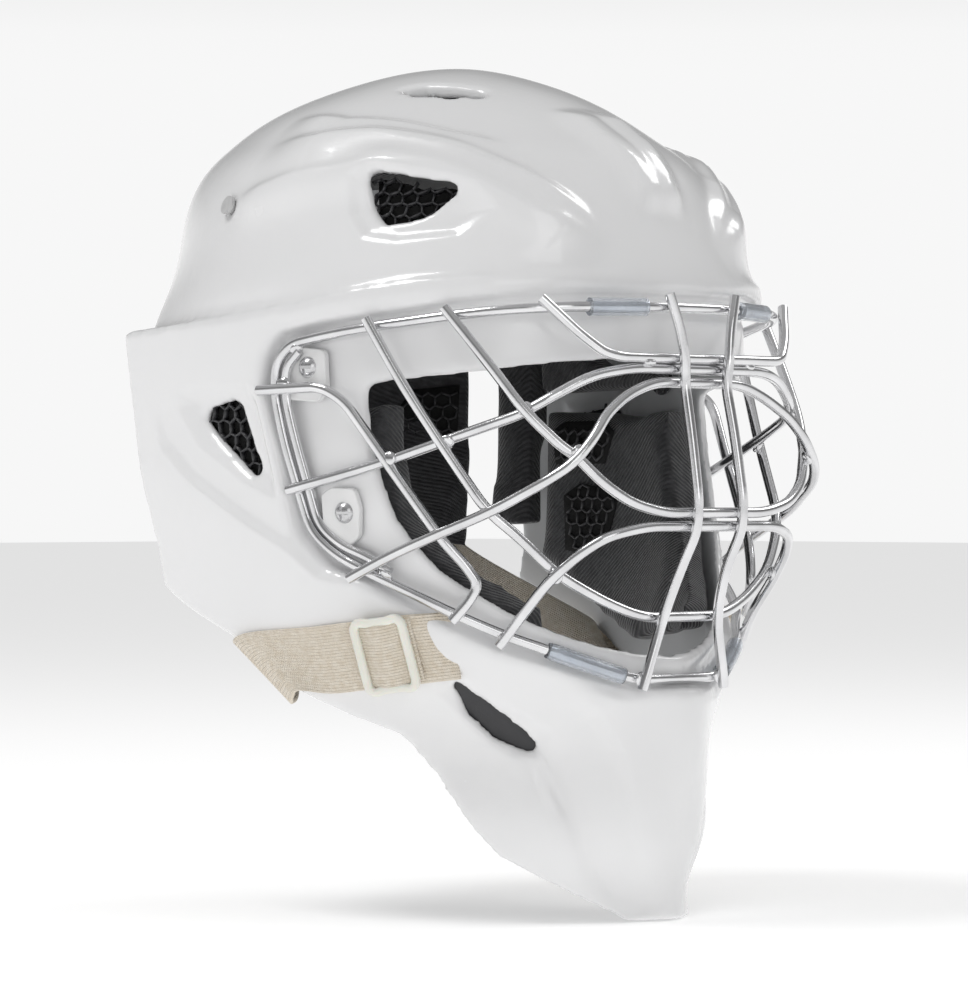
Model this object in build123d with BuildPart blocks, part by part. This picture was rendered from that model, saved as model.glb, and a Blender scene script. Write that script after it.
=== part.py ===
from build123d import *
import math
import os

os.makedirs("parts", exist_ok=True)

# Goalie mask, millimetres. +Z is up, the face looks along -Y, the wearer's right is -X,
# and the origin is the middle of the head at eye level. Every sub-part is drawn for the
# wearer's right and mirrored, or drawn across the middle.

# Driving dimensions
WALL = 4.5                  # moulded shell
SEAT_DEPTH = 8.5            # how far the cage's seat lies below the shell's surface
PAD_GAP = 17.0              # from the shell's surface to the back of the side pads
PAD_FACE = 30.0             # from the shell's surface to the face of the side pads
WIRE = 4.0                  # cage wire
RAIL_WIRE = 3.6             # second wire inside the cage's frame
STRAP_WIDTH = 25.0
STRAP_THICKNESS = 1.6
SCREW_SHANK = 2.5           # radius
RUNNING_GAP = 0.05
SHELL_TOP = 148.0
DOME_BASE = 61.0
FAR = 260.0                 # beyond the whole mask

# Height, half width, widest place, front, rear, and the roundness of the front and rear halves
CHEEK_LEVELS = [
    (-180, 80, -10, -113, 90, 1.5, 2.2),
    (-160, 84, -5, -113, 95, 1.5, 2.2),
    (-130, 90, 0, -118, 100, 1.5, 2.3),
    (-100, 97, 5, -121, 110, 1.5, 2.4),
    (-84, 100, 7, -121, 116, 1.75, 2.5),
    (-64, 103.5, 9, -121, 126, 2.0, 2.6),
    (-45, 106, 10, -121, 135, 2.3, 2.8),
    (-10, 109, 10, -122, 150, 2.5, 3.0),
    (25, 110, 10, -120, 160, 2.4, 3.0),
    (46, 110, 10, -118, 163, 2.35, 3.0),
    (70, 110, 10, -115.5, 165, 2.3, 3.0),
]
DOME_LEVELS = [
    (20, 107, 4, -118, 126, 2.25, 2.0),
    (DOME_BASE, 106, 4, -117, 125, 2.2, 2.0),
    (75, 102.5, 4, -112, 120, 2.1, 2.0),
    (90, 98.5, 6, -106, 118, 2.05, 2.0),
    (104, 93, 6, -98, 112, 2.0, 2.0),
    (116, 81, 9, -83, 101, 2.0, 2.0),
    (128, 65, 10, -64, 84, 2.0, 2.0),
    (138, 45, 8, -43, 59, 2.0, 2.0),
    (143.5, 29.5, 6, -26, 38, 2.0, 2.0),
    (146.8, 15, 5, -11.5, 21.5, 2.0, 2.0),
    (SHELL_TOP, 4, 5, 0, 10, 2.0, 2.0),
]
SECTION_POINTS = 32

# The step between the cheeks and the dome, in the side view, as (y, z)
LEDGE_LINE = [(FAR, 38), (79, 44), (22, 48), (-20, 52), (-41, 56), (-68, 60), (-97, 62), (-FAR, 64)]


def section_outline(level, inset):
    """Points round one level of the head shape, drawn in by the inset."""
    height, half_width, middle, front, rear, front_power, rear_power = level
    outline = []
    for step in range(SECTION_POINTS):
        angle = 2 * math.pi * step / SECTION_POINTS
        across = math.sin(angle)
        along = math.cos(angle)
        power = front_power if along >= 0 else rear_power
        reach = middle - front if along >= 0 else rear - middle
        width = max(half_width - inset, 1.0)
        reach = max(reach - inset, 1.0)
        scale = (abs(across / width) ** power + abs(along / reach) ** power) ** (-1 / power)
        outline.append((-scale * across, middle - scale * along))
    return outline


def level_height(level, inset):
    """Heights above the dome's base shrink with the inset, so the crown has a wall too."""
    height = level[0]
    if height <= DOME_BASE:
        return height
    rise = SHELL_TOP - DOME_BASE
    return DOME_BASE + (height - DOME_BASE) * (rise - inset) / rise


def side_prism(outline, x_from=-FAR, x_to=FAR):
    """Solid that shows the outline, a list of (y, z), when seen from the side."""
    with BuildPart() as prism:
        with BuildSketch(Plane.YZ.offset(x_from)):
            with BuildLine():
                Polyline(*outline, close=True)
            make_face()
        extrude(amount=x_to - x_from)
    return prism.part


def plan_prism(outline, z_from, z_to):
    """Solid that shows the outline, a list of (x, y), when seen from above."""
    with BuildPart() as prism:
        with BuildSketch(Plane.XY.offset(z_from)):
            with BuildLine():
                Polyline(*outline, close=True)
            make_face()
        extrude(amount=z_to - z_from)
    return prism.part


def front_prism(outline, y_from, y_to):
    """Solid that shows the outline, a list of (x, z), when seen from the front."""
    with BuildPart() as prism:
        with BuildSketch(Plane.XZ.offset(-y_from)):
            with BuildLine():
                Polyline(*outline, close=True)
            make_face()
        extrude(amount=-(y_to - y_from))
    return prism.part


def lofted(levels, heights, inset):
    """Solid through the levels at the given heights, each drawn in by the inset."""
    with BuildPart() as form:
        for level, height in zip(levels, heights):
            with BuildSketch(Plane.XY.offset(height)):
                with BuildLine():
                    Spline(*section_outline(level, inset), periodic=True)
                make_face()
        loft()
    return form.part


def dome_form(inset):
    """Solid dome alone, from within the cheeks to the crown."""
    return lofted(DOME_LEVELS, [level_height(level, inset) for level in DOME_LEVELS], inset)


def head_form(inset):
    """Solid head shape: wide cheeks and chin below, a dome that steps in above them."""
    above_ledge = [(y, z - inset) for y, z in LEDGE_LINE] + [(-FAR, FAR), (FAR, FAR)]
    with BuildPart() as form:
        add(lofted(CHEEK_LEVELS, [level[0] for level in CHEEK_LEVELS], inset))
        add(side_prism(above_ledge), mode=Mode.SUBTRACT)
        add(dome_form(inset))
    return form.part


def mirrored(points):
    """The same points on the wearer's left, in reverse order."""
    return [(-x, y, z) for x, y, z in reversed(points)]


def save(part, name):
    part.label = name
    export_step(part, f"parts/{name}.step")


def save_pair(part, name):
    """Writes a piece of the wearer's right and its mirror image."""
    save(part, f"{name}_right")
    save(mirror(part, about=Plane.YZ), f"{name}_left")


def both_sides(part):
    """A piece and its mirror image as one group of separate solids."""
    return Part(children=[part, mirror(part, about=Plane.YZ)])


# Outlines in the side view, as (y, z)
REAR_CUT = [
    (FAR, 100), (112, 98), (104, 84), (96, 66), (84, 60), (81, 41), (76, 17), (69, -18), (64, -41),
    (64, -55), (53, -62), (20, -75), (3, -86), (-10, -95), (-27, -103), (-44, -110), (-55, -125),
    (-66, -143), (-74, -156), (-90, -170), (-104, -179), (-112, -FAR), (FAR, -FAR),
]
FACE_HOLE = [
    (-43, 20), (-46, -2), (-54, -28), (-66, -47), (-82, -62), (-97, -73), (-111, -81), (-FAR, -83),
    (-FAR, 32), (-105, 30), (-78, 25), (-50, 22),
]
CAGE_SEAT = [
    (-10, 41), (-3, 32), (-2.5, 18), (-8, 0), (-13, -18), (-17, -35), (-29, -47), (-44, -51.5),
    (-58, -60), (-72, -68.5), (-84, -76.5), (-95, -82), (-104, -87.5), (-112, -92), (-FAR, -97),
    (-FAR, 57), (-107, 55), (-77, 51), (-51, 47), (-33, 45),
]
CAGE_SEAT_INSIDE = [
    (-9, 46), (2, 35), (2.5, 17), (-3, -1), (-8, -20), (-13, -39), (-27, -52), (-42, -56.5),
    (-56, -65), (-70, -73), (-82, -81), (-93, -87), (-102, -92), (-110, -97), (-FAR, -102),
    (-FAR, 62), (-107, 60), (-77, 56), (-51, 52), (-33, 50),
]
EAR_VENT = [(33, 9), (31, 13), (16, 16), (12, 14), (1, -11), (2, -13), (5, -12), (28, 4)]
TEMPLE_VENT = [(-37, 99), (-71, 93), (-62, 84), (-48, 81.5), (-43, 86)]
JAW_VENT = [(-66, -87), (-75, -98), (-86, -113), (-84, -116), (-73, -110), (-67, -101)]
CROWN_VENT = [(-45, -12), (-38, -18), (-27, -40), (-31, -44), (-41, -36), (-47, -22)]


def grown(outline, amount):
    """A small outline pushed out from its middle by about the amount."""
    centre_a = sum(a for a, b in outline) / len(outline)
    centre_b = sum(b for a, b in outline) / len(outline)
    result = []
    for a, b in outline:
        length = math.hypot(a - centre_a, b - centre_b)
        factor = (length + amount) / length
        result.append((centre_a + (a - centre_a) * factor, centre_b + (b - centre_b) * factor))
    return result


# ---------------------------------------------------------------- fastener places

def cheek_half_width(y, z, inset=0):
    """Half width of the cheek at this place, on the outer face or drawn in by the inset."""
    levels = list(zip(CHEEK_LEVELS, CHEEK_LEVELS[1:]))
    lower, upper = next(pair for pair in levels if pair[0][0] <= z <= pair[1][0])
    share = (z - lower[0]) / (upper[0] - lower[0])
    mixed = [low + (high - low) * share for low, high in zip(lower, upper)]
    half_width, middle, front, rear, front_power, rear_power = mixed[1:]
    if y < middle:
        part_way, power = (middle - y) / (middle - front - inset), front_power
    else:
        part_way, power = (y - middle) / (rear - middle - inset), rear_power
    return (half_width - inset) * (1 - part_way**power) ** (1 / power)


def cheek_plane(y, z, outset, inset=0):
    """Plane on the right cheek with its normal outwards, moved out by the outset."""
    width = cheek_half_width(y, z, inset)
    slope_y = (cheek_half_width(y + 1, z, inset) - cheek_half_width(y - 1, z, inset)) / 2
    slope_z = (cheek_half_width(y, z + 1, inset) - cheek_half_width(y, z - 1, inset)) / 2
    normal = Vector(-1, -slope_y, -slope_z).normalized()
    return Plane(origin=Vector(-width, y, z) + normal * outset, z_dir=normal)


# Place of each fastener and the way it points, wearer's right
UPPER_SCREW = cheek_plane(-21.9, 27.9, 0, SEAT_DEPTH)
LOWER_SCREW = cheek_plane(-36.5, -26, 0, SEAT_DEPTH)
UPPER_RIVET = Plane(origin=(-96.6, 29, 91), z_dir=(-0.935, 0.172, 0.309))

outer_form = head_form(0)
seat_form = head_form(SEAT_DEPTH)
cavity_form = head_form(WALL)
seat_cavity_form = head_form(SEAT_DEPTH + WALL)

# ---------------------------------------------------------------- shell

CLEARANCE_HOLE = 3.7        # radius of the holes that the tee nuts' barrels fill
RIVET_HOLE = 2.6


def cage_seat_cut():
    """What is taken off the shell's face so that the cage lies in it."""
    with BuildPart() as cut:
        add(side_prism(CAGE_SEAT))
        add(seat_form, mode=Mode.SUBTRACT)
    return cut.part


def head_cavity():
    """The inside of the shell, which steps in behind the cage's seat."""
    with BuildPart() as cavity:
        add(cavity_form)
        add(side_prism(CAGE_SEAT_INSIDE), mode=Mode.SUBTRACT)
        add(seat_cavity_form)
    return cavity.part


with BuildPart() as shell:
    add(outer_form)
    add(cage_seat_cut(), mode=Mode.SUBTRACT)
    add(head_cavity(), mode=Mode.SUBTRACT)
    add(side_prism(FACE_HOLE), mode=Mode.SUBTRACT)
    add(side_prism(REAR_CUT), mode=Mode.SUBTRACT)
    for vent in (EAR_VENT, TEMPLE_VENT, JAW_VENT):
        add(side_prism(vent), mode=Mode.SUBTRACT)
    for side in (1, -1):
        slot = [(side * x, y) for x, y in CROWN_VENT]
        add(plan_prism(slot, SHELL_TOP / 2, FAR), mode=Mode.SUBTRACT)
    bored = [(UPPER_SCREW, CLEARANCE_HOLE), (LOWER_SCREW, CLEARANCE_HOLE), (UPPER_RIVET, RIVET_HOLE)]
    for seat, radius in bored:
        with BuildPart(seat, mode=Mode.PRIVATE) as hole:
            Cylinder(radius, 30)
        add(hole.part, mode=Mode.SUBTRACT)
        add(mirror(hole.part, about=Plane.YZ, mode=Mode.PRIVATE), mode=Mode.SUBTRACT)
save(shell.part, "shell")

# ---------------------------------------------------------------- cage

# Each route runs from the wearer's right end to the last point before the middle.
# The frame's upper run starts at the temple corner and its lower run ends there.
FRAME_UPPER = [
    (-103, -33, 40), (-98.5, -51.2, 42.5), (-86, -77.5, 46), (-75.5, -95.5, 48), (-64, -107, 49),
    (-53, -114, 49.5), (-21, -124.5, 50),
]
FRAME_LOWER = [
    (-23, -115, -88.8), (-38.5, -106.5, -83), (-52, -98, -77.5), (-64, -87, -72), (-78, -75, -64),
    (-87.5, -61, -56), (-95, -46, -48.5), (-98.5, -32, -42), (-100.5, -21, -33),
    (-102.5, -16, -17), (-105, -11, 1), (-106, -7, 19), (-106, -8, 30), (-105.5, -16, 37),
]
INNER_RAIL = [
    (-105.2, -20, 34), (-106, -13.5, 28), (-105.4, -12.5, 17), (-104.2, -16.5, 1), (-101.9, -21.5, -17),
    (-100.3, -25.5, -31), (-98.3, -35, -38.5), (-94.6, -46, -43), (-90.8, -54, -48.5),
]
BAR_A = [
    (-111, -3, 19.5), (-108.5, -16, 20), (-105.8, -32, 20.5), (-102.3, -41, 15), (-93.4, -58, -11),
    (-85, -74.8, -36), (-78.7, -82, -46.5), (-75.5, -85, -53), (-77.5, -82.5, -59), (-81.5, -77, -66.5),
]
BAR_B = [
    (-102, -52.4, 45.5), (-96.3, -64.5, 22.6), (-89.2, -76.6, 1.5), (-80.3, -94, -25.7),
    (-71, -102, -35.7), (-58.5, -108.5, -49), (-39, -114.3, -59.5), (-22, -117.5, -65.5),
]
BAR_C = [
    (-88.5, -80, 49), (-81.3, -97, 27.5), (-75.8, -109.3, 10.5), (-67.2, -119.3, -2),
    (-62.6, -123.2, -6), (-54.7, -129, -15.8), (-43.7, -132.5, -22.8), (-28, -134.3, -26.5),
]
BAR_D = [
    (-106.4, -14.5, -18), (-102, -33.5, -13.5), (-94, -52.6, -8), (-86.3, -73.6, -1), (-80.2, -89.6, 4.4),
    (-73.4, -105, 9.8), (-67, -112.6, 15.3), (-52, -119.7, 24), (-36, -125.6, 27),
]
BAR_E = [
    (-101, -42, -51), (-95.5, -58, -42.5), (-89.3, -77.5, -34.2), (-83.2, -97.8, -26.5),
    (-74, -118.5, -14.8), (-66.5, -125.8, -7.8), (-58.5, -127.8, 1.3), (-51, -126.5, 9.5),
    (-39, -125, 16.7), (-24, -125.3, 22),
]
BAR_F = [
    (-67.5, -87.6, -75.8), (-64.3, -95.5, -65.3), (-62.5, -108.8, -51.2), (-57.6, -118.8, -41.9),
    (-50.8, -126.3, -35.3), (-36, -132.5, -31.5),
]
BAR_G = [
    (-67, -109, 52.5), (-56.5, -119, 39), (-49, -124, 32.5), (-43, -126.5, 31),
]
VERTICAL = [
    (-18.3, -128, 55), (-14, -129.5, 42), (-12.2, -130.5, 31), (-11.4, -129.5, 21), (-12, -133.5, 2),
    (-12.4, -137.3, -22), (-12.4, -136.5, -33), (-12.6, -128, -48), (-14.8, -121.5, -65.5),
    (-21.5, -118.8, -88.5), (-22.6, -118.2, -92.5),
]


def bend_radii(points):
    """The largest radius each bend has room for."""
    radii = []
    for before, here, after in zip(points, points[1:], points[2:]):
        first = Vector(*here) - Vector(*before)
        second = Vector(*after) - Vector(*here)
        shorter = min(first.length, second.length)
        half_turn = math.radians(first.get_angle(second)) / 2
        radii.append(0.45 * shorter / math.tan(half_turn))
    return radii


def round_wire(points, diameter):
    """A round wire along straight runs joined by tangent arcs."""
    with BuildPart() as wire:
        with BuildLine() as route:
            FilletPolyline(*points, radius=bend_radii(points))
        with BuildSketch(Plane(origin=route.line @ 0, z_dir=route.line % 0)):
            Circle(diameter / 2)
        sweep()
    return wire.part


def cage_frame_wire():
    """The closed frame: one half from middle to middle, and its mirror image."""
    centre_top = (0, FRAME_UPPER[-1][1], FRAME_UPPER[-1][2])
    centre_bottom = (0, FRAME_LOWER[0][1], FRAME_LOWER[0][2])
    half_route = [centre_bottom, *FRAME_LOWER, *FRAME_UPPER, centre_top]
    with BuildPart() as ring:
        half = round_wire(half_route, WIRE)
        add(half)
        mirror(half, about=Plane.YZ)
    return ring.part


def cross_bar(points):
    return round_wire([*points, *mirrored(points)], WIRE)


save(cage_frame_wire(), "cage_frame")
save_pair(round_wire(INNER_RAIL, RAIL_WIRE), "cage_inner_rail")
save_pair(round_wire(BAR_A, WIRE), "cage_bar_a")
for letter, route in zip("bcdefg", (BAR_B, BAR_C, BAR_D, BAR_E, BAR_F, BAR_G)):
    save(cross_bar(route), f"cage_bar_{letter}")
save_pair(round_wire(VERTICAL, WIRE), "cage_vertical")

SLEEVE_RADIUS = 3.4


def sleeve(start, end, margin):
    """A soft tube round a straight stretch of the frame, short of its ends by the margin."""
    first = Vector(*start)
    run = Vector(*end) - first
    along = run.normalized()
    length = run.length - 2 * margin
    with BuildPart() as tube:
        with BuildSketch(Plane(origin=first + along * margin, z_dir=along)):
            Circle(SLEEVE_RADIUS)
            Circle(WIRE / 2 + RUNNING_GAP, mode=Mode.SUBTRACT)
        extrude(amount=length)
    return tube.part


TOP_SLEEVE_MARGIN = 5.0
BOTTOM_SLEEVE_MARGIN = 2.6
save(both_sides(sleeve(FRAME_UPPER[-2], FRAME_UPPER[-1], TOP_SLEEVE_MARGIN)), "cage_sleeves_top")
save(both_sides(sleeve(FRAME_LOWER[1], FRAME_LOWER[2], BOTTOM_SLEEVE_MARGIN)), "cage_sleeves_bottom")

# ---------------------------------------------------------------- clips and screws

CLIP_THICKNESS = 2.4
CLIP_ROUND = 3.0
CLIP_LIFT = 1.5             # clear of the seat's slight curve
HEAD_RADIUS = 4.1
HEAD_HEIGHT = 2.6
NUT_BARREL = 3.6
NUT_FLANGE = 7.0
NUT_FLANGE_THICKNESS = 1.0


def fastener_plane(seat):
    """The seat's plane turned so that its local Y is upwards."""
    forward = Vector(0, 0, 1).cross(seat.z_dir)
    return Plane(origin=seat.origin, x_dir=forward, z_dir=seat.z_dir)


def clip_plate(seat, outline):
    """Flat clip with rounded corners and a screw hole, outline in the seat's own plane."""
    with BuildPart() as clip:
        with BuildSketch(fastener_plane(seat).offset(CLIP_LIFT)) as face:
            with BuildLine():
                Polyline(*outline, close=True)
            make_face()
            fillet(face.vertices(), radius=CLIP_ROUND)
            Circle(SCREW_SHANK + RUNNING_GAP, mode=Mode.SUBTRACT)
        extrude(amount=CLIP_THICKNESS)
        outer = clip.faces().sort_by(Axis(seat.origin, seat.z_dir))[-1]
        fillet(outer.outer_wire().edges(), radius=0.6)
    return clip.part


def screw(seat):
    """Dome head screw with a cross slot, its head on the clip."""
    base = fastener_plane(seat)
    grip = CLIP_LIFT + CLIP_THICKNESS + WALL + 1.3
    head_seat = CLIP_LIFT + CLIP_THICKNESS
    dome = (HEAD_RADIUS**2 + HEAD_HEIGHT**2) / (2 * HEAD_HEIGHT)
    with BuildPart() as body:
        with BuildSketch(base.offset(head_seat - grip)):
            Circle(SCREW_SHANK)
        extrude(amount=grip)
        with BuildPart(base.offset(head_seat), mode=Mode.PRIVATE) as head:
            with Locations((0, 0, HEAD_HEIGHT - dome)):
                Sphere(dome)
            with Locations((0, 0, -dome)):
                Box(4 * dome, 4 * dome, 2 * dome, mode=Mode.SUBTRACT)
            for turn in (0, 90):
                with Locations(Location((0, 0, HEAD_HEIGHT), (0, 0, turn))):
                    Box(5.6, 1.2, 2.4, mode=Mode.SUBTRACT)
        add(head.part)
    return body.part


def tee_nut(seat):
    """Flanged barrel that comes through the shell from inside and takes the screw."""
    base = fastener_plane(seat)
    with BuildPart() as nut:
        with BuildSketch(base.offset(-WALL - CLIP_LIFT - NUT_FLANGE_THICKNESS)):
            Circle(NUT_FLANGE)
        extrude(amount=NUT_FLANGE_THICKNESS)
        with BuildSketch(base.offset(-WALL - CLIP_LIFT)):
            Circle(NUT_BARREL)
        extrude(amount=WALL)
        with BuildSketch(base.offset(-WALL - CLIP_LIFT - NUT_FLANGE_THICKNESS)):
            Circle(SCREW_SHANK + RUNNING_GAP)
        extrude(amount=2 * WALL, mode=Mode.SUBTRACT)
    return nut.part


UPPER_CLIP = [(-10, -12), (-10, 4), (-6, 8), (8, 6.5), (9, -8), (5, -13)]
LOWER_CLIP = [(-10, -9), (-10, 7), (-5, 9.5), (5, 9), (7, 2), (6, -9), (1, -13)]
save(both_sides(clip_plate(UPPER_SCREW, UPPER_CLIP)), "cage_clips_upper")
save(both_sides(clip_plate(LOWER_SCREW, LOWER_CLIP)), "cage_clips_lower")
screws = [screw(seat) for seat in (UPPER_SCREW, LOWER_SCREW)]
save(Part(children=[*screws, *[mirror(s, about=Plane.YZ) for s in screws]]), "cage_screws")
nuts = [tee_nut(seat) for seat in (UPPER_SCREW, LOWER_SCREW)]
save(Part(children=[*nuts, *[mirror(n, about=Plane.YZ) for n in nuts]]), "tee_nuts")

# ---------------------------------------------------------------- padding

def lining_form(inset):
    """The head shape without its ledge, from below the chin to above the temples."""
    levels = [*CHEEK_LEVELS[:-2], *DOME_LEVELS[1:5]]
    return lofted(levels, [level[0] for level in levels], inset)


pad_back_form = lining_form(PAD_GAP)
pad_face_form = lining_form(PAD_FACE)


def liner(prism, back, face):
    """What lies between two inset head shapes inside the prism."""
    with BuildPart() as piece:
        add(prism)
        add(back, mode=Mode.INTERSECT)
        add(face, mode=Mode.SUBTRACT)
    return piece.part


TEMPLE_PAD = [(-35, 22), (-31, 33), (4, 35), (12, 44), (38, 44), (38, 20)]
EAR_PAD = [(40, -33), (40, 44), (62, 44), (64, 10), (62, -33)]
JAW_PAD = [
    (-45, 17), (-48, -4), (-56, -29), (-68, -48), (-84, -63), (-80, -72), (-58, -76), (-30, -82),
    (0, -70), (38, -48), (38, 17),
]
BROW_PAD = [(-72, 33), (-72, 48), (72, 48), (72, 33)]
FOREHEAD_PAD = [(-54, 62), (-48, 98), (48, 98), (54, 62)]
CHIN_PAD = [(-32, -112), (-32, -98), (32, -98), (32, -112)]

save_pair(liner(side_prism(TEMPLE_PAD, -FAR, 0), pad_back_form, pad_face_form), "temple_pad")
save_pair(liner(side_prism(EAR_PAD, -FAR, 0), pad_back_form, pad_face_form), "ear_pad")
save_pair(liner(side_prism(JAW_PAD, -FAR, 0), pad_back_form, pad_face_form), "jaw_pad")
save(liner(front_prism(BROW_PAD, -FAR, -60), pad_back_form, pad_face_form), "brow_pad")

CROWN_PAD_DEPTH = 18.0
shallow_back_form = dome_form(WALL + 0.5)
shallow_face_form = dome_form(CROWN_PAD_DEPTH)
CROWN_PAD = [(-52, -50), (-52, 60), (-30, 78), (30, 78), (52, 60), (52, -50), (30, -66), (-30, -66)]
save(liner(front_prism(FOREHEAD_PAD, -FAR, -60), shallow_back_form, shallow_face_form), "forehead_pad")
save(liner(plan_prism(CROWN_PAD, 106, FAR), shallow_back_form, shallow_face_form), "crown_pad")

chin_back_form = lining_form(WALL + 1)
chin_face_form = lining_form(WALL + 8)
save(liner(front_prism(CHIN_PAD, -FAR, -70), chin_back_form, chin_face_form), "chin_pad")

# ---------------------------------------------------------------- vent inserts

insert_back_form = head_form(WALL + 0.3)
insert_face_form = head_form(WALL + 3.3)
INSERT_LIP = 4.0
ear_prism = side_prism(grown(EAR_VENT, INSERT_LIP), -FAR, 0)
temple_prism = side_prism(grown(TEMPLE_VENT, INSERT_LIP), -FAR, 0)
jaw_prism = side_prism(grown(JAW_VENT, INSERT_LIP), -FAR, 0)
save(both_sides(liner(ear_prism, insert_back_form, insert_face_form)), "ear_vent_grilles")
save(both_sides(liner(temple_prism, insert_back_form, insert_face_form)), "temple_vent_grilles")
save(both_sides(liner(jaw_prism, insert_back_form, insert_face_form)), "jaw_vent_grilles")

# ---------------------------------------------------------------- chin cup

CUP_CENTRE = (0, -58, -104)
CUP_RADII = (30, 30, 18)
CUP_WALL = 3.0
CUP_BACK = -66.0            # nothing of the cup lies behind this
LINER_WALL = 4.0


def ellipsoid(radii):
    with BuildPart() as body:
        Sphere(radii[0])
        scale(by=(1, radii[1] / radii[0], radii[2] / radii[0]))
        add(Pos(*CUP_CENTRE) * body.part, mode=Mode.REPLACE)
    return body.part


def cup_layer(outset_from, outset_to, back):
    """The front of a hollow egg between two offsets from the cup's inner face."""
    outer = ellipsoid([radius + outset_to for radius in CUP_RADII])
    inner = ellipsoid([radius + outset_from for radius in CUP_RADII])
    with BuildPart() as layer:
        add(outer)
        add(inner, mode=Mode.SUBTRACT)
        with Locations((0, back + FAR / 2, CUP_CENTRE[2])):
            Box(FAR, FAR, FAR, mode=Mode.SUBTRACT)
    return layer.part


save(cup_layer(LINER_WALL + 0.2, LINER_WALL + 0.2 + CUP_WALL, CUP_BACK), "chin_cup")
save(cup_layer(0, LINER_WALL, CUP_BACK - 2), "chin_cup_liner")

# ---------------------------------------------------------------- harness

HINGE_Y = 95.0
PLATE_RADIUS = 108.0        # in plan, at the plate's middle height
PLATE_MIDDLE = 25.0
PLATE_BEND = 130.0          # in the side view
PLATE_THICKNESS = 3.0
PLATE_TOP = 90.0
PLATE_BOTTOM = -45.0
PLATE_HALF_ANGLE = 35.0
BACK_PAD_THICKNESS = 9.0
BACK_PAD_HALF_ANGLE = 48.0


def back_layer(depth_from, depth_to, half_angle, top, bottom):
    """A patch of a barrel-shaped surface behind the head, between two depths."""
    centre_radius = PLATE_RADIUS - PLATE_BEND
    with BuildPart() as layer:
        with BuildSketch(Plane.XZ) as band:
            with Locations((centre_radius, PLATE_MIDDLE)):
                Circle(PLATE_BEND - depth_from)
                Circle(PLATE_BEND - depth_to, mode=Mode.SUBTRACT)
            with Locations((PLATE_RADIUS, (top + bottom) / 2)):
                Rectangle(PLATE_RADIUS, top - bottom, mode=Mode.INTERSECT)
        revolve(axis=Axis.Z, revolution_arc=2 * half_angle)
    return Rot(0, 0, 90 - half_angle) * layer.part


plate_solid = back_layer(0, PLATE_THICKNESS, PLATE_HALF_ANGLE, PLATE_TOP, PLATE_BOTTOM)
pad_solid = back_layer(
    PLATE_THICKNESS + 0.2,
    PLATE_THICKNESS + 0.2 + BACK_PAD_THICKNESS,
    BACK_PAD_HALF_ANGLE,
    PLATE_TOP - 6,
    PLATE_BOTTOM + 4,
)
PLATE_RIVETS = [(-50, 74), (50, 74), (-52, -31), (52, -31)]
PLATE_RIVET_RADIUS = 2.0
RIVET_HEAD_RADIUS = 4.5
RIVET_HEAD_HEIGHT = 1.5


def plate_point(x, z, outset):
    """A place on the backplate's outer face and the direction outwards there."""
    rise = z - PLATE_MIDDLE
    radius = PLATE_RADIUS - PLATE_BEND + math.sqrt(PLATE_BEND**2 - rise**2)
    turn = math.asin(x / radius)
    lean = math.asin(rise / PLATE_BEND)
    out = Vector(math.sin(turn) * math.cos(lean), math.cos(turn) * math.cos(lean), math.sin(lean))
    place = Vector(radius * math.sin(turn), radius * math.cos(turn), z)
    return Plane(origin=place + out * outset, z_dir=out)


def rivet(seat, grip, below):
    """Shank with a flat round head above the seat and another below the grip."""
    with BuildPart() as body:
        with BuildSketch(seat.offset(-below - grip)):
            Circle(PLATE_RIVET_RADIUS)
        extrude(amount=grip + below + 0.1)
        with BuildSketch(seat):
            Circle(RIVET_HEAD_RADIUS)
        extrude(amount=RIVET_HEAD_HEIGHT)
    return body.part


with BuildPart() as backplate:
    add(plate_solid)
    for x, z in PLATE_RIVETS:
        with BuildSketch(plate_point(x, z, 5)):
            Circle(PLATE_RIVET_RADIUS + RUNNING_GAP)
        extrude(amount=-12, mode=Mode.SUBTRACT)
    for x in (-26, 0, 26):
        with BuildSketch(Plane.XZ.offset(-HINGE_Y - 30)):
            with Locations((x, 20), (x, -12)):
                SlotOverall(24, 10, rotation=90)
        extrude(amount=60, mode=Mode.SUBTRACT)
save(backplate.part, "backplate")
save(pad_solid, "backplate_pad")

STRAP_CLEAR = 0.3
plate_rivets = []
for x, z in PLATE_RIVETS:
    strap_top = STRAP_THICKNESS + 3 * STRAP_CLEAR
    plate_rivets.append(rivet(plate_point(x, z, strap_top), PLATE_THICKNESS, strap_top))
save(Part(children=plate_rivets), "backplate_rivets")


def band(stations, width, thickness=STRAP_THICKNESS):
    """A flat strap through stations of (middle, direction of its width, direction of travel)."""
    with BuildPart() as strap:
        for middle, across, travel in stations:
            with BuildSketch(Plane(origin=middle, x_dir=across, z_dir=travel)):
                Rectangle(width, thickness)
        loft()
    return strap.part


# ---------------------------------------------------------------- straps

def strap_along(planes, width, thickness=STRAP_THICKNESS):
    """A flat strap through the origins of the planes, its face square to their normals."""
    stations = []
    for index, plane in enumerate(planes):
        before = planes[max(index - 1, 0)].origin
        after = planes[min(index + 1, len(planes) - 1)].origin
        travel = (after - before).normalized()
        across = travel.cross(plane.z_dir).normalized()
        stations.append((plane.origin, across, travel))
    return band(stations, width, thickness)


def facing(place, normal):
    return Plane(origin=place, z_dir=normal)


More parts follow.
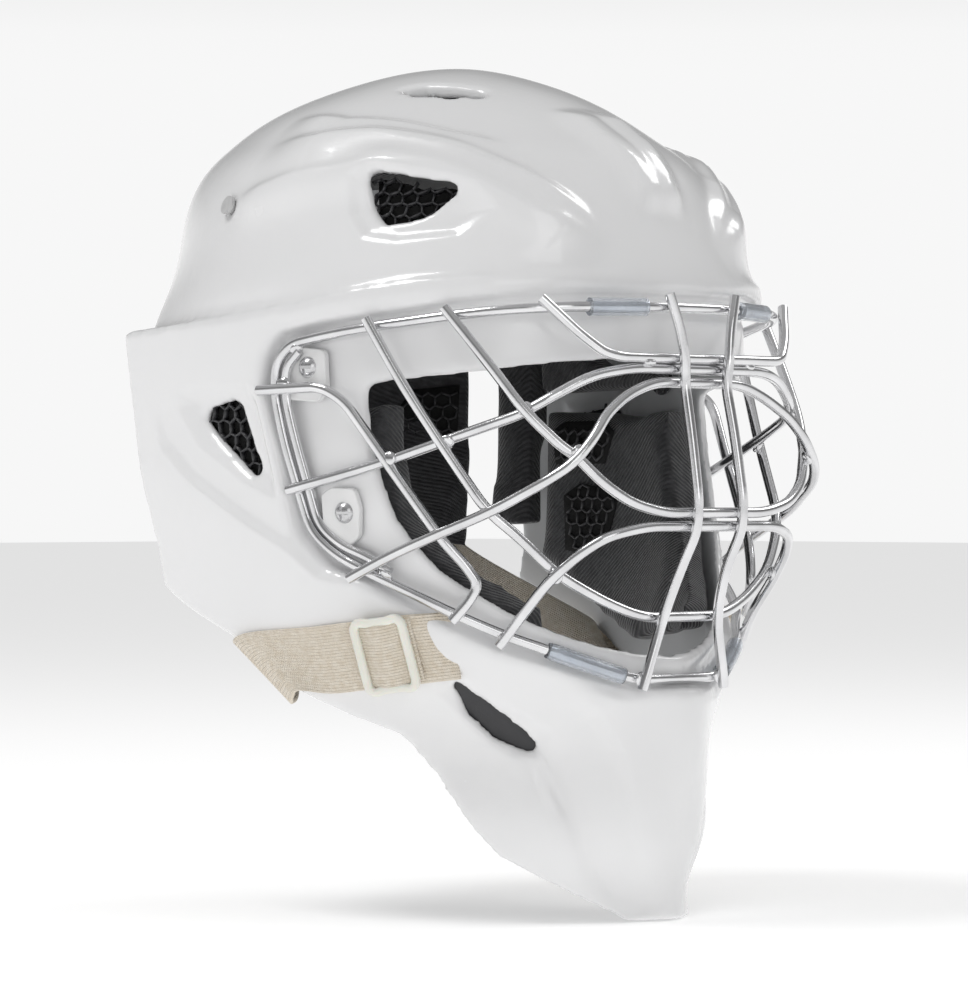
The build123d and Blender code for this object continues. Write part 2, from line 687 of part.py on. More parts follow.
UPPER_STRAP_WIDTH = 16.0
UPPER_STRAP_GAP = 1.6       # from the shell's wall to the strap at its rivet
RIVET_OUT = Vector(*UPPER_RIVET.z_dir)
STRAP_LIFT = STRAP_CLEAR + 0.15 + STRAP_THICKNESS / 2
upper_strap_end = UPPER_RIVET.origin - RIVET_OUT * (WALL + UPPER_STRAP_GAP + STRAP_THICKNESS / 2)
UPPER_STRAP = [
    plate_point(-38, 74, STRAP_LIFT),
    plate_point(-50, 74, STRAP_LIFT),
    facing((-63, 75.5, 77), (-0.66, 0.7, 0.27)),
    facing((-80, 55, 83.5), (-0.83, 0.48, 0.29)),
    facing(upper_strap_end, RIVET_OUT),
    facing(upper_strap_end + Vector(-0.5, -8, 0.8), RIVET_OUT),
]


def punched(strap, seat, radius):
    """The strap with a rivet's hole through it."""
    with BuildPart() as piece:
        add(strap)
        with BuildSketch(seat.offset(8)):
            Circle(radius)
        extrude(amount=-24, mode=Mode.SUBTRACT)
    return piece.part


STRAP_HOLE = 2.9
upper_strap = strap_along(UPPER_STRAP, UPPER_STRAP_WIDTH)
upper_strap = punched(upper_strap, plate_point(-50, 74, 0), STRAP_HOLE)
save_pair(punched(upper_strap, UPPER_RIVET, STRAP_HOLE), "upper_strap")

OUTER_LIFT = 0.7 + STRAP_THICKNESS / 2
OUTER_STRAP = [
    cheek_plane(-69, -75, OUTER_LIFT),
    cheek_plane(-50, -78, OUTER_LIFT),
    cheek_plane(-22, -81.5, OUTER_LIFT),
    cheek_plane(-2, -84.5, OUTER_LIFT),
    cheek_plane(9, -86.5, OUTER_LIFT),
]
FOLD_ACROSS = Vector(-7, 30, 20).normalized()
INNER_STRAP = [
    facing((-92.6, 8, -86), (-0.97, -0.1, -0.2)),
    facing((-83.5, 23, -74), (-0.9, 0.2, -0.3)),
    facing((-68, 53, -52), (-0.75, 0.6, -0.3)),
    facing((-57.5, 73.4, -37), (-0.5, 0.75, -0.43)),
    plate_point(-52, -31, STRAP_LIFT),
    plate_point(-48.5, -27, STRAP_LIFT),
]


def lower_strap():
    """Elastic strap: outside along the jaw, round the shell's lower edge, in to the backplate."""
    with BuildPart() as strap:
        add(strap_along(OUTER_STRAP, STRAP_WIDTH))
        add(strap_along(INNER_STRAP, STRAP_WIDTH))
        fold = Plane(origin=(-97, 8.5, -90.5), x_dir=FOLD_ACROSS, z_dir=(-1, 0, 0))
        with BuildSketch(fold.offset(-6)):
            Rectangle(STRAP_WIDTH, 2 * STRAP_THICKNESS)
        extrude(amount=11)
    return strap.part


save_pair(punched(lower_strap(), plate_point(-52, -31, 0), STRAP_HOLE), "lower_strap")

# ---------------------------------------------------------------- tri-glides

GLIDE_ALONG = 23.0
GLIDE_ACROSS = 31.0
GLIDE_BAR = 3.6
GLIDE_THICKNESS = 3.0
GLIDE_LIFT = 3.3
glide_seat = cheek_plane(-50, -78, GLIDE_LIFT)
glide_travel = (OUTER_STRAP[2].origin - OUTER_STRAP[0].origin).normalized()


def tri_glide():
    """Rectangular slider with rounded corners and a middle bar."""
    travel = glide_travel - glide_seat.z_dir * glide_travel.dot(glide_seat.z_dir)
    seat = Plane(origin=glide_seat.origin, x_dir=travel, z_dir=glide_seat.z_dir)
    slot_length = GLIDE_ACROSS - 2 * GLIDE_BAR
    slot_width = (GLIDE_ALONG - 3 * GLIDE_BAR) / 2
    with BuildPart() as glide:
        with BuildSketch(seat):
            RectangleRounded(GLIDE_ALONG, GLIDE_ACROSS, 2.5)
            with GridLocations(slot_width + GLIDE_BAR, 0, 2, 1):
                RectangleRounded(slot_width, slot_length, 1.0, mode=Mode.SUBTRACT)
        extrude(amount=GLIDE_THICKNESS)
    return glide.part


save_pair(tri_glide(), "tri_glide")

# ---------------------------------------------------------------- shell rivets and chin straps

SHELL_RIVET_HEAD = 3.7
with BuildPart() as shell_rivet:
    grip = WALL + UPPER_STRAP_GAP + STRAP_THICKNESS + 1.0
    with BuildSketch(UPPER_RIVET.offset(-grip)):
        Circle(RIVET_HOLE - RUNNING_GAP)
    extrude(amount=grip + 0.3)
    with BuildSketch(UPPER_RIVET.offset(0.3)):
        Circle(SHELL_RIVET_HEAD)
    extrude(amount=1.2)
save(both_sides(shell_rivet.part), "upper_strap_rivets")

CHIN_STRAP_WIDTH = 12.0
SNAP_RADIUS = 5.0
SNAP_THICKNESS = 2.0
snap_seat = cheek_plane(-38, -97, -WALL - 0.4)
cup_reach = CUP_RADII[0] + LINER_WALL + 0.2 + CUP_WALL + STRAP_LIFT + 0.5


def cup_side(degrees_round):
    """Place on the cup's outside, at this angle round from its front."""
    turn = math.radians(degrees_round)
    out = (-math.sin(turn), -math.cos(turn), 0)
    place = (CUP_CENTRE[0] + out[0] * cup_reach, CUP_CENTRE[1] + out[1] * cup_reach, CUP_CENTRE[2])
    return facing(place, out)


snap_face = snap_seat.offset(-SNAP_THICKNESS - STRAP_CLEAR - STRAP_THICKNESS / 2)
CHIN_STRAP = [
    cup_side(56),
    cup_side(72),
    facing((-56, -51, -101.5), (-0.5, -0.85, 0)),
    snap_face,
]
save_pair(strap_along(CHIN_STRAP, CHIN_STRAP_WIDTH), "chin_strap")
with BuildPart() as snap:
    with BuildSketch(snap_seat.offset(-SNAP_THICKNESS)):
        Circle(SNAP_RADIUS)
    extrude(amount=SNAP_THICKNESS)
save(both_sides(snap.part), "chin_strap_snaps")
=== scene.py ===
"""Looks of the goalie mask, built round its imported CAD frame.

Metres, the frame of the CAD: +Z up, the face looks along -Y, the wearer's right is -X.
Pieces are made for the wearer's right and mirrored.
"""

import math
import random

import bmesh
import bpy
import numpy as np
from mathutils import Matrix, Vector
from mathutils.bvhtree import BVHTree


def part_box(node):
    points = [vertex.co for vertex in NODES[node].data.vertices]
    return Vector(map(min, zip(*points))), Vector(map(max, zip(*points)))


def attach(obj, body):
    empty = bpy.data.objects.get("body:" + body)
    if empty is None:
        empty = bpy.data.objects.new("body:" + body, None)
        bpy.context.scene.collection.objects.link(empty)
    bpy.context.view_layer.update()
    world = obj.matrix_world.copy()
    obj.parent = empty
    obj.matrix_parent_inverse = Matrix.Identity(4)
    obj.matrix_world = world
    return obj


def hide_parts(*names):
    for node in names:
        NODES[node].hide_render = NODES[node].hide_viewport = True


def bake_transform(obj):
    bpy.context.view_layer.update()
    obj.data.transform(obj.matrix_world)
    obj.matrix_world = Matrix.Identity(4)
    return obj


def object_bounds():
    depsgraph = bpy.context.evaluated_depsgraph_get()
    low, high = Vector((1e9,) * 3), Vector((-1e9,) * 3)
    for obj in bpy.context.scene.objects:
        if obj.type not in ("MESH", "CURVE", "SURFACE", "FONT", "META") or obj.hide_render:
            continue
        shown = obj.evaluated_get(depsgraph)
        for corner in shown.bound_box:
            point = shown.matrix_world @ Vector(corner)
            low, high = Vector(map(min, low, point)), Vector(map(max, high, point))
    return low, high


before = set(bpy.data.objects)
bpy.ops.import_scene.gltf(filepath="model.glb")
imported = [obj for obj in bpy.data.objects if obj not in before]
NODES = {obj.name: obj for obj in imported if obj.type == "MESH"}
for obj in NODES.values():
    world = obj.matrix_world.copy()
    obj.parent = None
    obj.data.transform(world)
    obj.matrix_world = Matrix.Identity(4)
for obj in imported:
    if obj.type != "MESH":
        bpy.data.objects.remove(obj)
cad_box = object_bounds()
MM = 0.001
SIDES = (("right", 1), ("left", -1))     # of the wearer, with the sign that mirrors a right-hand x
rng = random.Random(7)


# ---------------------------------------------------------------- materials

def material(name, color, roughness, metallic=0.0, **sockets):
    """A Principled material. Constants go straight on the shader's sockets."""
    mat = bpy.data.materials.new(name)
    mat.use_nodes = True
    shader = mat.node_tree.nodes["Principled BSDF"]
    shader.inputs["Base Color"].default_value = (*color, 1)
    shader.inputs["Roughness"].default_value = roughness
    shader.inputs["Metallic"].default_value = metallic
    for socket, value in sockets.items():
        shader.inputs[socket.replace("_", " ")].default_value = value
    return mat


def coordinates(mat, kind="Object"):
    node = mat.node_tree.nodes.new("ShaderNodeTexCoord")
    return node.outputs[kind]


def noise(mat, scale, detail=4.0, coordinate=None):
    tree = mat.node_tree
    node = tree.nodes.new("ShaderNodeTexNoise")
    node.inputs["Scale"].default_value = scale
    node.inputs["Detail"].default_value = detail
    tree.links.new(coordinate or coordinates(mat), node.inputs["Vector"])
    return node.outputs["Fac"]


WAVE_TURNS = 20             # a Wave texture of scale 1 has one rib to each 2 pi / 20


def waves(mat, direction, period, distortion=0.0, coordinate=None):
    """Fine parallel ribs, one to each period."""
    tree = mat.node_tree
    node = tree.nodes.new("ShaderNodeTexWave")
    node.bands_direction = direction
    node.inputs["Scale"].default_value = 2 * math.pi / WAVE_TURNS / period
    node.inputs["Distortion"].default_value = distortion
    node.inputs["Detail"].default_value = 1.0
    tree.links.new(coordinate or coordinates(mat), node.inputs["Vector"])
    return node.outputs["Fac"]


def vary_color(mat, factor, dark, light, low=0.3, high=0.7):
    """Base colour between two tones, led by a texture."""
    tree = mat.node_tree
    ramp = tree.nodes.new("ShaderNodeValToRGB")
    ramp.color_ramp.elements[0].position = low
    ramp.color_ramp.elements[0].color = (*dark, 1)
    ramp.color_ramp.elements[1].position = high
    ramp.color_ramp.elements[1].color = (*light, 1)
    tree.links.new(factor, ramp.inputs["Fac"])
    tree.links.new(ramp.outputs["Color"], tree.nodes["Principled BSDF"].inputs["Base Color"])


def vary_roughness(mat, factor, low, high):
    tree = mat.node_tree
    spread = tree.nodes.new("ShaderNodeMapRange")
    spread.inputs["To Min"].default_value = low
    spread.inputs["To Max"].default_value = high
    tree.links.new(factor, spread.inputs["Value"])
    tree.links.new(spread.outputs["Result"], tree.nodes["Principled BSDF"].inputs["Roughness"])


def bump(mat, height, distance, strength=1.0):
    """Adds one more layer of relief to the material."""
    tree = mat.node_tree
    node = tree.nodes.new("ShaderNodeBump")
    node.inputs["Strength"].default_value = strength
    node.inputs["Distance"].default_value = distance
    tree.links.new(height, node.inputs["Height"])
    normal = tree.nodes["Principled BSDF"].inputs["Normal"]
    if normal.is_linked:
        tree.links.new(normal.links[0].from_socket, node.inputs["Normal"])
    tree.links.new(node.outputs["Normal"], normal)


shell_paint = material("shell_paint", (0.86, 0.86, 0.865), 0.24, Coat_Weight=0.7, Coat_Roughness=0.08)
vary_color(shell_paint, noise(shell_paint, 9), (0.84, 0.84, 0.845), (0.88, 0.88, 0.885))
vary_roughness(shell_paint, noise(shell_paint, 35), 0.2, 0.3)
bump(shell_paint, noise(shell_paint, 420, 2), 0.00004)

# The shell's inside is unpainted white plastic; its darker grey is painted shade
shell_inside_shaded = material("shell_inside_shaded", (0.62, 0.63, 0.64), 0.5)
vary_color(shell_inside_shaded, noise(shell_inside_shaded, 14), (0.55, 0.56, 0.57), (0.66, 0.67, 0.68))
bump(shell_inside_shaded, noise(shell_inside_shaded, 900), 0.0001)

steel = material("polished_steel", (0.74, 0.74, 0.75), 0.13, 1.0)
vary_color(steel, noise(steel, 60), (0.66, 0.66, 0.67), (0.8, 0.8, 0.81))
vary_roughness(steel, noise(steel, 140), 0.08, 0.2)
bump(steel, noise(steel, 1500, 3), 0.00002)

sleeve_plastic = material(
    "sleeve_plastic", (0.86, 0.89, 0.93), 0.12, Transmission_Weight=0.85, IOR=1.33
)
vary_color(sleeve_plastic, noise(sleeve_plastic, 70), (0.80, 0.84, 0.89), (0.90, 0.93, 0.97))
bump(sleeve_plastic, noise(sleeve_plastic, 300), 0.0002)

clip_plastic = material("clip_plastic", (0.83, 0.83, 0.83), 0.33)
vary_color(clip_plastic, noise(clip_plastic, 45), (0.79, 0.79, 0.79), (0.86, 0.86, 0.86))
bump(clip_plastic, noise(clip_plastic, 1100), 0.00004)

fastener_steel = material("fastener_steel", (0.6, 0.6, 0.61), 0.24, 1.0)
vary_roughness(fastener_steel, noise(fastener_steel, 500), 0.16, 0.36)
bump(fastener_steel, noise(fastener_steel, 1800), 0.00003)

knit = material("black_knit", (0.03, 0.03, 0.032), 0.78, Sheen_Weight=0.35, Sheen_Roughness=0.5)
vary_color(knit, noise(knit, 260), (0.018, 0.018, 0.02), (0.05, 0.05, 0.053))
bump(knit, waves(knit, "DIAGONAL", 0.0012, 0.8), 0.0003)
bump(knit, noise(knit, 2600, 2), 0.00015)

lattice_black = material("lattice_black", (0.03, 0.03, 0.032), 0.38)
vary_color(lattice_black, noise(lattice_black, 300), (0.02, 0.02, 0.022), (0.06, 0.06, 0.064))
bump(lattice_black, noise(lattice_black, 1500), 0.0001)

black_plastic = material("black_plastic", (0.035, 0.035, 0.038), 0.42)
vary_roughness(black_plastic, noise(black_plastic, 120), 0.34, 0.5)
bump(black_plastic, noise(black_plastic, 1600), 0.00008)

# Painted shade: near-black sheets that stand for the shade in the holes behind the honeycombs
vent_shadow = material("vent_shadow", (0.006, 0.006, 0.006), 0.9)
vary_color(vent_shadow, noise(vent_shadow, 200), (0.003, 0.003, 0.003), (0.01, 0.01, 0.01))
bump(vent_shadow, noise(vent_shadow, 700), 0.0003)

# Rivets of the upper straps: their paint is white, and the mid grey is painted shade
rivet_paint_and_shade = material("rivet_paint_and_shade", (0.55, 0.55, 0.55), 0.4)
vary_color(rivet_paint_and_shade, noise(rivet_paint_and_shade, 300), (0.5, 0.5, 0.5), (0.6, 0.6, 0.6))
bump(rivet_paint_and_shade, noise(rivet_paint_and_shade, 900), 0.00005)

elastic = material("beige_elastic", (0.80, 0.72, 0.60), 0.8, Sheen_Weight=0.25, Sheen_Roughness=0.5)
vary_color(elastic, noise(elastic, 420, 6), (0.74, 0.65, 0.52), (0.86, 0.79, 0.68))
bump(elastic, waves(elastic, "Y", 0.00115, 0.6, coordinates(elastic, "UV")), 0.00035)
bump(elastic, waves(elastic, "X", 0.0011, 1.0, coordinates(elastic, "UV")), 0.00012)

webbing = material("black_webbing", (0.03, 0.03, 0.032), 0.75, Sheen_Weight=0.3)
vary_color(webbing, noise(webbing, 500), (0.02, 0.02, 0.022), (0.05, 0.05, 0.054))
bump(webbing, waves(webbing, "X", 0.0014, 0.4, coordinates(webbing, "UV")), 0.0003)

buckle_plastic = material(
    "buckle_plastic", (0.83, 0.83, 0.76), 0.36, Subsurface_Weight=0.15, Subsurface_Scale=0.002
)
vary_color(buckle_plastic, noise(buckle_plastic, 40), (0.79, 0.79, 0.71), (0.87, 0.87, 0.8))
bump(buckle_plastic, noise(buckle_plastic, 900), 0.00006)

floor_paint = material(
    "floor_paint", (0.9, 0.9, 0.9), 0.8, Specular_IOR_Level=0.0, Emission_Color=(1, 1, 1, 1),
    Emission_Strength=0.42,
)
bump(floor_paint, noise(floor_paint, 30), 0.0002)


# ---------------------------------------------------------------- mesh helpers

def linked(name, data):
    """A new object in the scene, riding on nothing yet."""
    piece = bpy.data.objects.new(name, data)
    bpy.context.scene.collection.objects.link(piece)
    return piece


def shade_smooth(piece):
    piece.data.polygons.foreach_set("use_smooth", [True] * len(piece.data.polygons))


def new_object(name, vertices, faces, mat, body="mask"):
    mesh = bpy.data.meshes.new(name)
    mesh.from_pydata([tuple(v) for v in vertices], [], faces)
    mesh.validate()
    mesh.update()
    piece = linked(name, mesh)
    mesh.materials.append(mat)
    shade_smooth(piece)
    if body:
        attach(piece, body)
    return piece


def object_from(work, name, mat):
    """The object of a finished bmesh, riding on nothing yet."""
    mesh = bpy.data.meshes.new(name)
    work.to_mesh(mesh)
    work.free()
    piece = linked(name, mesh)
    mesh.materials.append(mat)
    shade_smooth(piece)
    return piece


WELD_DISTANCE = 1e-5        # vertices of a CAD mesh nearer than this are one


def copy_of(node, name):
    """A copy of a CAD node's mesh without doubled vertices, riding on nothing yet."""
    mesh = NODES[node].data.copy()
    mesh.name = name
    mesh.materials.clear()
    work = bmesh.new()
    work.from_mesh(mesh)
    bmesh.ops.remove_doubles(work, verts=work.verts, dist=WELD_DISTANCE)
    work.to_mesh(mesh)
    work.free()
    return linked(name, mesh)


def apply_modifiers(piece):
    graph = bpy.context.evaluated_depsgraph_get()
    mesh = bpy.data.meshes.new_from_object(piece.evaluated_get(graph))
    piece.modifiers.clear()
    piece.data = mesh


def remeshed(piece, voxel):
    modifier = piece.modifiers.new("voxels", "REMESH")
    modifier.mode = "VOXEL"
    modifier.voxel_size = voxel
    modifier.use_smooth_shade = True
    apply_modifiers(piece)


def subdivided(piece, levels=1):
    modifier = piece.modifiers.new("round", "SUBSURF")
    modifier.levels = levels
    apply_modifiers(piece)


def places(piece):
    co = np.zeros(len(piece.data.vertices) * 3)
    piece.data.vertices.foreach_get("co", co)
    return co.reshape(-1, 3)


def move_to(piece, co):
    piece.data.vertices.foreach_set("co", co.ravel())
    piece.data.update()


def normals_of(piece):
    out = np.zeros(len(piece.data.vertices) * 3)
    piece.data.vertices.foreach_get("normal", out)
    return out.reshape(-1, 3)


def smoothed(piece, co, rounds, factor=0.5, share=None):
    """Each vertex moves towards its neighbours' middle, by its own share."""
    pairs = np.zeros(len(piece.data.edges) * 2, int)
    piece.data.edges.foreach_get("vertices", pairs)
    a, b = pairs[::2], pairs[1::2]
    count = np.bincount(pairs, minlength=len(co)).reshape(-1, 1)
    share = 1.0 if share is None else share.reshape(-1, 1)
    for _ in range(rounds):
        total = np.zeros_like(co)
        for axis in range(3):
            total[:, axis] = np.bincount(a, co[b, axis], len(co))
            total[:, axis] += np.bincount(b, co[a, axis], len(co))
        co = co + (total / np.maximum(count, 1) - co) * factor * share
    return co


def mirror_piece(piece, name, body):
    """The same piece on the wearer's left."""
    twin = linked(name, piece.data.copy())
    twin.data.transform(Matrix.Scale(-1, 4, (1, 0, 0)))
    twin.data.flip_normals()
    if body:
        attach(twin, body)
    return twin


def tree_of(piece):
    """For finding places on a mesh."""
    co = [v.co.copy() for v in piece.data.vertices]
    return BVHTree.FromPolygons(co, [tuple(p.vertices) for p in piece.data.polygons])


def smooth_step(t):
    t = np.clip(t, 0, 1)
    return t * t * (3 - 2 * t)


def inside_distance(points, outline):
    """How far each 2-D point lies inside a closed outline; negative outside."""
    shape = np.array(outline)
    nearest = np.full(len(points), 1e9)
    inside = np.zeros(len(points), bool)
    for start, end in zip(shape, np.roll(shape, -1, axis=0)):
        run = end - start
        t = np.clip(((points - start) @ run) / (run @ run), 0, 1)
        nearest = np.minimum(nearest, np.linalg.norm(points - start - t[:, None] * run, axis=1))
        crosses = (start[1] > points[:, 1]) != (end[1] > points[:, 1])
        rise = end[1] - start[1] if end[1] != start[1] else 1e-9
        at = start[0] + (points[:, 1] - start[1]) / rise * run[0]
        inside ^= crosses & (points[:, 0] < at)
    return np.where(inside, nearest, -nearest)


# ---------------------------------------------------------------- shell

SHELL_VOXEL = 0.0013
SHELL_ROUNDS = 10           # of smoothing, over all and again along the seat's border
SHELL_AXIS_Y = 8.0          # middle of the head shape, mm
SHELL_AXIS_TOP = 40.0       # above this the head shape's directions spread from one point
SEAT_EDGE = 3.5             # half width of the band that is rounded along the seat's border
SEAT_FADE = 5.0             # the relief rises over this distance from the cage's seat
VENT_MIN_X = 30.0           # the sunk areas lie further out than this
LINE_FADE = 0.22            # share of a design line over which each end fades
OUTSIDE_FACING = -0.2       # vertices that look outwards more than this are on the outside
INSIDE_FACING = -0.45       # faces that look inwards more than this get the inside's material, unpainted plastic darkened grey as painted shade

# Design lines of the shell, wearer's right, in mm: the points, the height of the ridge
# (negative for a groove), and how far it fades on the line's two sides.
DESIGN_LINES = [
    ([(-84, 22, 112), (-84, -7, 113), (-77, -30, 114), (-66, -61, 107), (-53, -84, 98),
      (-39, -100, 85), (-29, -110, 70)], 4.6, 20, 5),
    ([(-70, 24, 124), (-73, -10, 122), (-67, -34, 119), (-61, -55, 114), (-47, -79, 108)], 2.8, 13, 4),
    ([(-88, -20, 103), (-82, -44, 104), (-70, -69, 97), (-57, -90, 85), (-30, -110, 70)], 3.6, 12, 5),
    ([(-97, 30, 90), (-96, 8, 95), (-95, -12, 99), (-88, -38, 101), (-76, -62, 97)], 2.8, 11, 4),
    ([(-12, -62, 129), (-10, -84, 117), (-7, -100, 98), (-6, -108, 82)], 4.0, 6, 17),
    ([(-108, 62, 20), (-108, 53, -2), (-108, 37, -15), (-108, 11, -29), (-105, -18, -43),
      (-97, -42, -60)], 2.4, 22, 3),
    ([(-46, -99, -89), (-32, -106, -101), (-24, -110, -115), (-19, -111, -127), (-15, -110, -144),
      (-11, -110, -168)], 2.0, 4, 14),
    ([(-52, -86, -106), (-44, -92, -120), (-35, -97, -140), (-28, -100, -158),
      (-19, -106, -176)], -2.4, 6, 9),
]
# Sunk areas round the vents, in the side view, as (y, z), with their depth and their border's width
SUNK_AREAS = [
    ([(47, 21), (38, 23), (4, 23), (-4, 18), (-13, -12), (-12, -24), (6, -17), (34, -2), (46, 12)], 3.2, 9),
    ([(-31, 99), (-40, 103), (-76, 95), (-84, 84), (-76, 75), (-56, 73), (-42, 75), (-34, 84)], 2.4, 6),
    ([(-62, -82), (-70, -84), (-92, -108), (-90, -120), (-78, -118), (-68, -108), (-60, -94)], 1.4, 5),
]
# The seat's border in the side view, whose corners are rounded off
SEAT_BORDER = [
    (-10, 41), (-3, 32), (-2.5, 18), (-8, 0), (-13, -18), (-17, -35), (-29, -47), (-44, -51.5),
    (-58, -60), (-72, -68.5), (-84, -76.5), (-95, -82), (-104, -87.5), (-112, -92), (-260, -97),
    (-260, 57), (-107, 55), (-77, 51), (-51, 47), (-33, 45),
]


def design_line_height(right, outward, line, height, above, below):
    """Relief of one design line at each place, all places taken on the right side."""
    points = np.array(line, float)
    runs = np.diff(points, axis=0)
    lengths = np.linalg.norm(runs, axis=1)
    starts = np.concatenate([[0], np.cumsum(lengths)])
    total = starts[-1]
    best = np.full(len(right), 1e9)
    signed = np.zeros(len(right))
    along = np.zeros(len(right))
    for start, run, length, offset in zip(points, runs, lengths, starts):
        t = np.clip(((right - start) @ run) / length**2, 0, 1)
        gap = right - start - t[:, None] * run
        distance = np.linalg.norm(gap, axis=1)
        side = np.einsum("ij,ij->i", np.cross(run / length, outward), gap)
        closer = distance < best
        best = np.where(closer, distance, best)
        signed = np.where(closer, np.where(side >= 0, distance, -distance), signed)
        along = np.where(closer, offset + t * length, along)
    width = np.where(signed * np.sign(points[0, 1] - points[-1, 1]) >= 0, above, below)
    run_in = LINE_FADE * total
    fade = smooth_step(along / run_in) * smooth_step((total - along) / run_in)
    return height * np.exp(-((best / width) ** 2)) * fade


def outward_directions(co):
    """Rough direction out of the head shape at each place, in mm coordinates."""
    centre_z = np.minimum(co[:, 2], SHELL_AXIS_TOP)
    out = co - np.stack([np.zeros(len(co)), np.full(len(co), SHELL_AXIS_Y), centre_z], axis=1)
    return out / np.maximum(np.linalg.norm(out, axis=1), 1e-6)[:, None]


def make_shell():
    """The CAD shell, smoothed, with its design lines and sunk areas as relief."""
    shell = copy_of("shell", "mask_shell")
    remeshed(shell, SHELL_VOXEL)
    co = smoothed(shell, places(shell), SHELL_ROUNDS)
    side_view = co[:, 1:] / MM
    near_seat = np.abs(inside_distance(side_view, SEAT_BORDER))
    facing_out = np.einsum("ij,ij->i", normals_of(shell), outward_directions(co / MM))
    on_border = (near_seat < SEAT_EDGE) & (facing_out > OUTSIDE_FACING)
    co = smoothed(shell, co, SHELL_ROUNDS, share=np.where(on_border, 1.0, 0.0))

    co_mm = co / MM
    right = co_mm.copy()
    right[:, 0] = -np.abs(right[:, 0])
    outward = outward_directions(right)
    relief = np.zeros(len(co))
    for line, height, above, below in DESIGN_LINES:
        relief += design_line_height(right, outward, line, height, above, below)
    for outline, depth, slope in SUNK_AREAS:
        reach = inside_distance(side_view, outline)
        relief -= depth * smooth_step(reach / slope) * (np.abs(co_mm[:, 0]) > VENT_MIN_X)
    relief *= smooth_step((-inside_distance(side_view, SEAT_BORDER) - 1) / SEAT_FADE)
    outward[:, 0] = np.where(co_mm[:, 0] > 0, np.abs(outward[:, 0]), -np.abs(outward[:, 0]))
    move_to(shell, (co_mm + outward * relief[:, None]) * MM)

    shell.data.materials.append(shell_paint)
    shell.data.materials.append(shell_inside_shaded)
    faces = len(shell.data.polygons)
    centres = np.zeros(faces * 3)
    normals = np.zeros(faces * 3)
    shell.data.polygons.foreach_get("center", centres)
    shell.data.polygons.foreach_get("normal", normals)
    facing = np.einsum(
        "ij,ij->i", normals.reshape(-1, 3), outward_directions(centres.reshape(-1, 3) / MM)
    )
    shell.data.polygons.foreach_set("material_index", (facing < INSIDE_FACING).astype(int))
    shade_smooth(shell)
    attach(shell, "mask")
    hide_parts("shell")


make_shell()


# ---------------------------------------------------------------- cage

WIRE_KINDS = ("frame", "inner", "bar", "vertical")
STEEL_NODES = [n for n in NODES if n.startswith("cage_") and n.split("_")[1] in WIRE_KINDS]


def paint(node, mat):
    """Gives a CAD node one material."""
    target = NODES[node]
    target.data.materials.clear()
    target.data.materials.append(mat)
    target.data.polygons.foreach_set("material_index", [0] * len(target.data.polygons))


for node in STEEL_NODES:
    paint(node, steel)
paint("cage_sleeves_top", sleeve_plastic)
for node in ("cage_clips_upper", "cage_clips_lower"):
    paint(node, clip_plastic)
for node in ("cage_screws", "tee_nuts", "backplate_rivets", "chin_strap_snaps"):
    paint(node, fastener_steel)
# the rivets' mid grey is painted shade over their white paint
paint("upper_strap_rivets", rivet_paint_and_shade)
paint("backplate", black_plastic)
paint("chin_cup", black_plastic)

WELD_REACH = 0.0006         # wires nearer than this are welded
WELD_SPACING = 0.009        # and one bead stands for all contacts within this
WELD_SIZE = (2.9, 2.9, 1.5)  # half sizes of a bead, mm


def weld_places():
    """Where two wires of the cage touch, with the normal of the second wire's surface there."""
    trees = {n: tree_of(NODES[n]) for n in STEEL_NODES}
    found = []
    for index, a in enumerate(STEEL_NODES):
        low_a, high_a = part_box(a)
        for b in STEEL_NODES[index + 1:]:
            low_b, high_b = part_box(b)
            if any(low_a[i] > high_b[i] + MM or low_b[i] > high_a[i] + MM for i in range(3)):
                continue
            for vertex in NODES[a].data.vertices:
                place, normal, _, distance = trees[b].find_nearest(vertex.co, WELD_REACH)
                if place is None:
                    continue
                if all((place - p).length > WELD_SPACING for p, _ in found):
                    found.append((place.copy(), normal.copy()))
    return found


def weld_beads():
    """A small flat bead of steel at every weld."""
    work = bmesh.new()
    for place, normal in weld_places():
        turn = normal.to_track_quat("Z", "Y").to_matrix().to_4x4()
        size = Matrix.Diagonal((*[half * MM for half in WELD_SIZE], 1))
        bmesh.ops.create_icosphere(
            work, subdivisions=3, radius=1, matrix=Matrix.Translation(place) @ turn @ size
        )
    beads = object_from(work, "cage_welds", steel)
    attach(beads, "mask")


weld_beads()

# Way of the frame wire under the lower sleeve, wearer's right, in mm
SLEEVE_WAY = [
    (-52.5, -97.6, -77.3), (-46, -101.7, -80), (-40.5, -105.2, -82.2), (-36.5, -107.5, -83.7),
    (-31, -110.6, -85.8), (-26.5, -113.1, -87.5),
]
SLEEVE_RADIUS = 3.3
SLEEVE_FLARE = 0.15         # an end is wider by this
SLEEVE_WALL = 1.0
SLEEVE_SIDES = 20


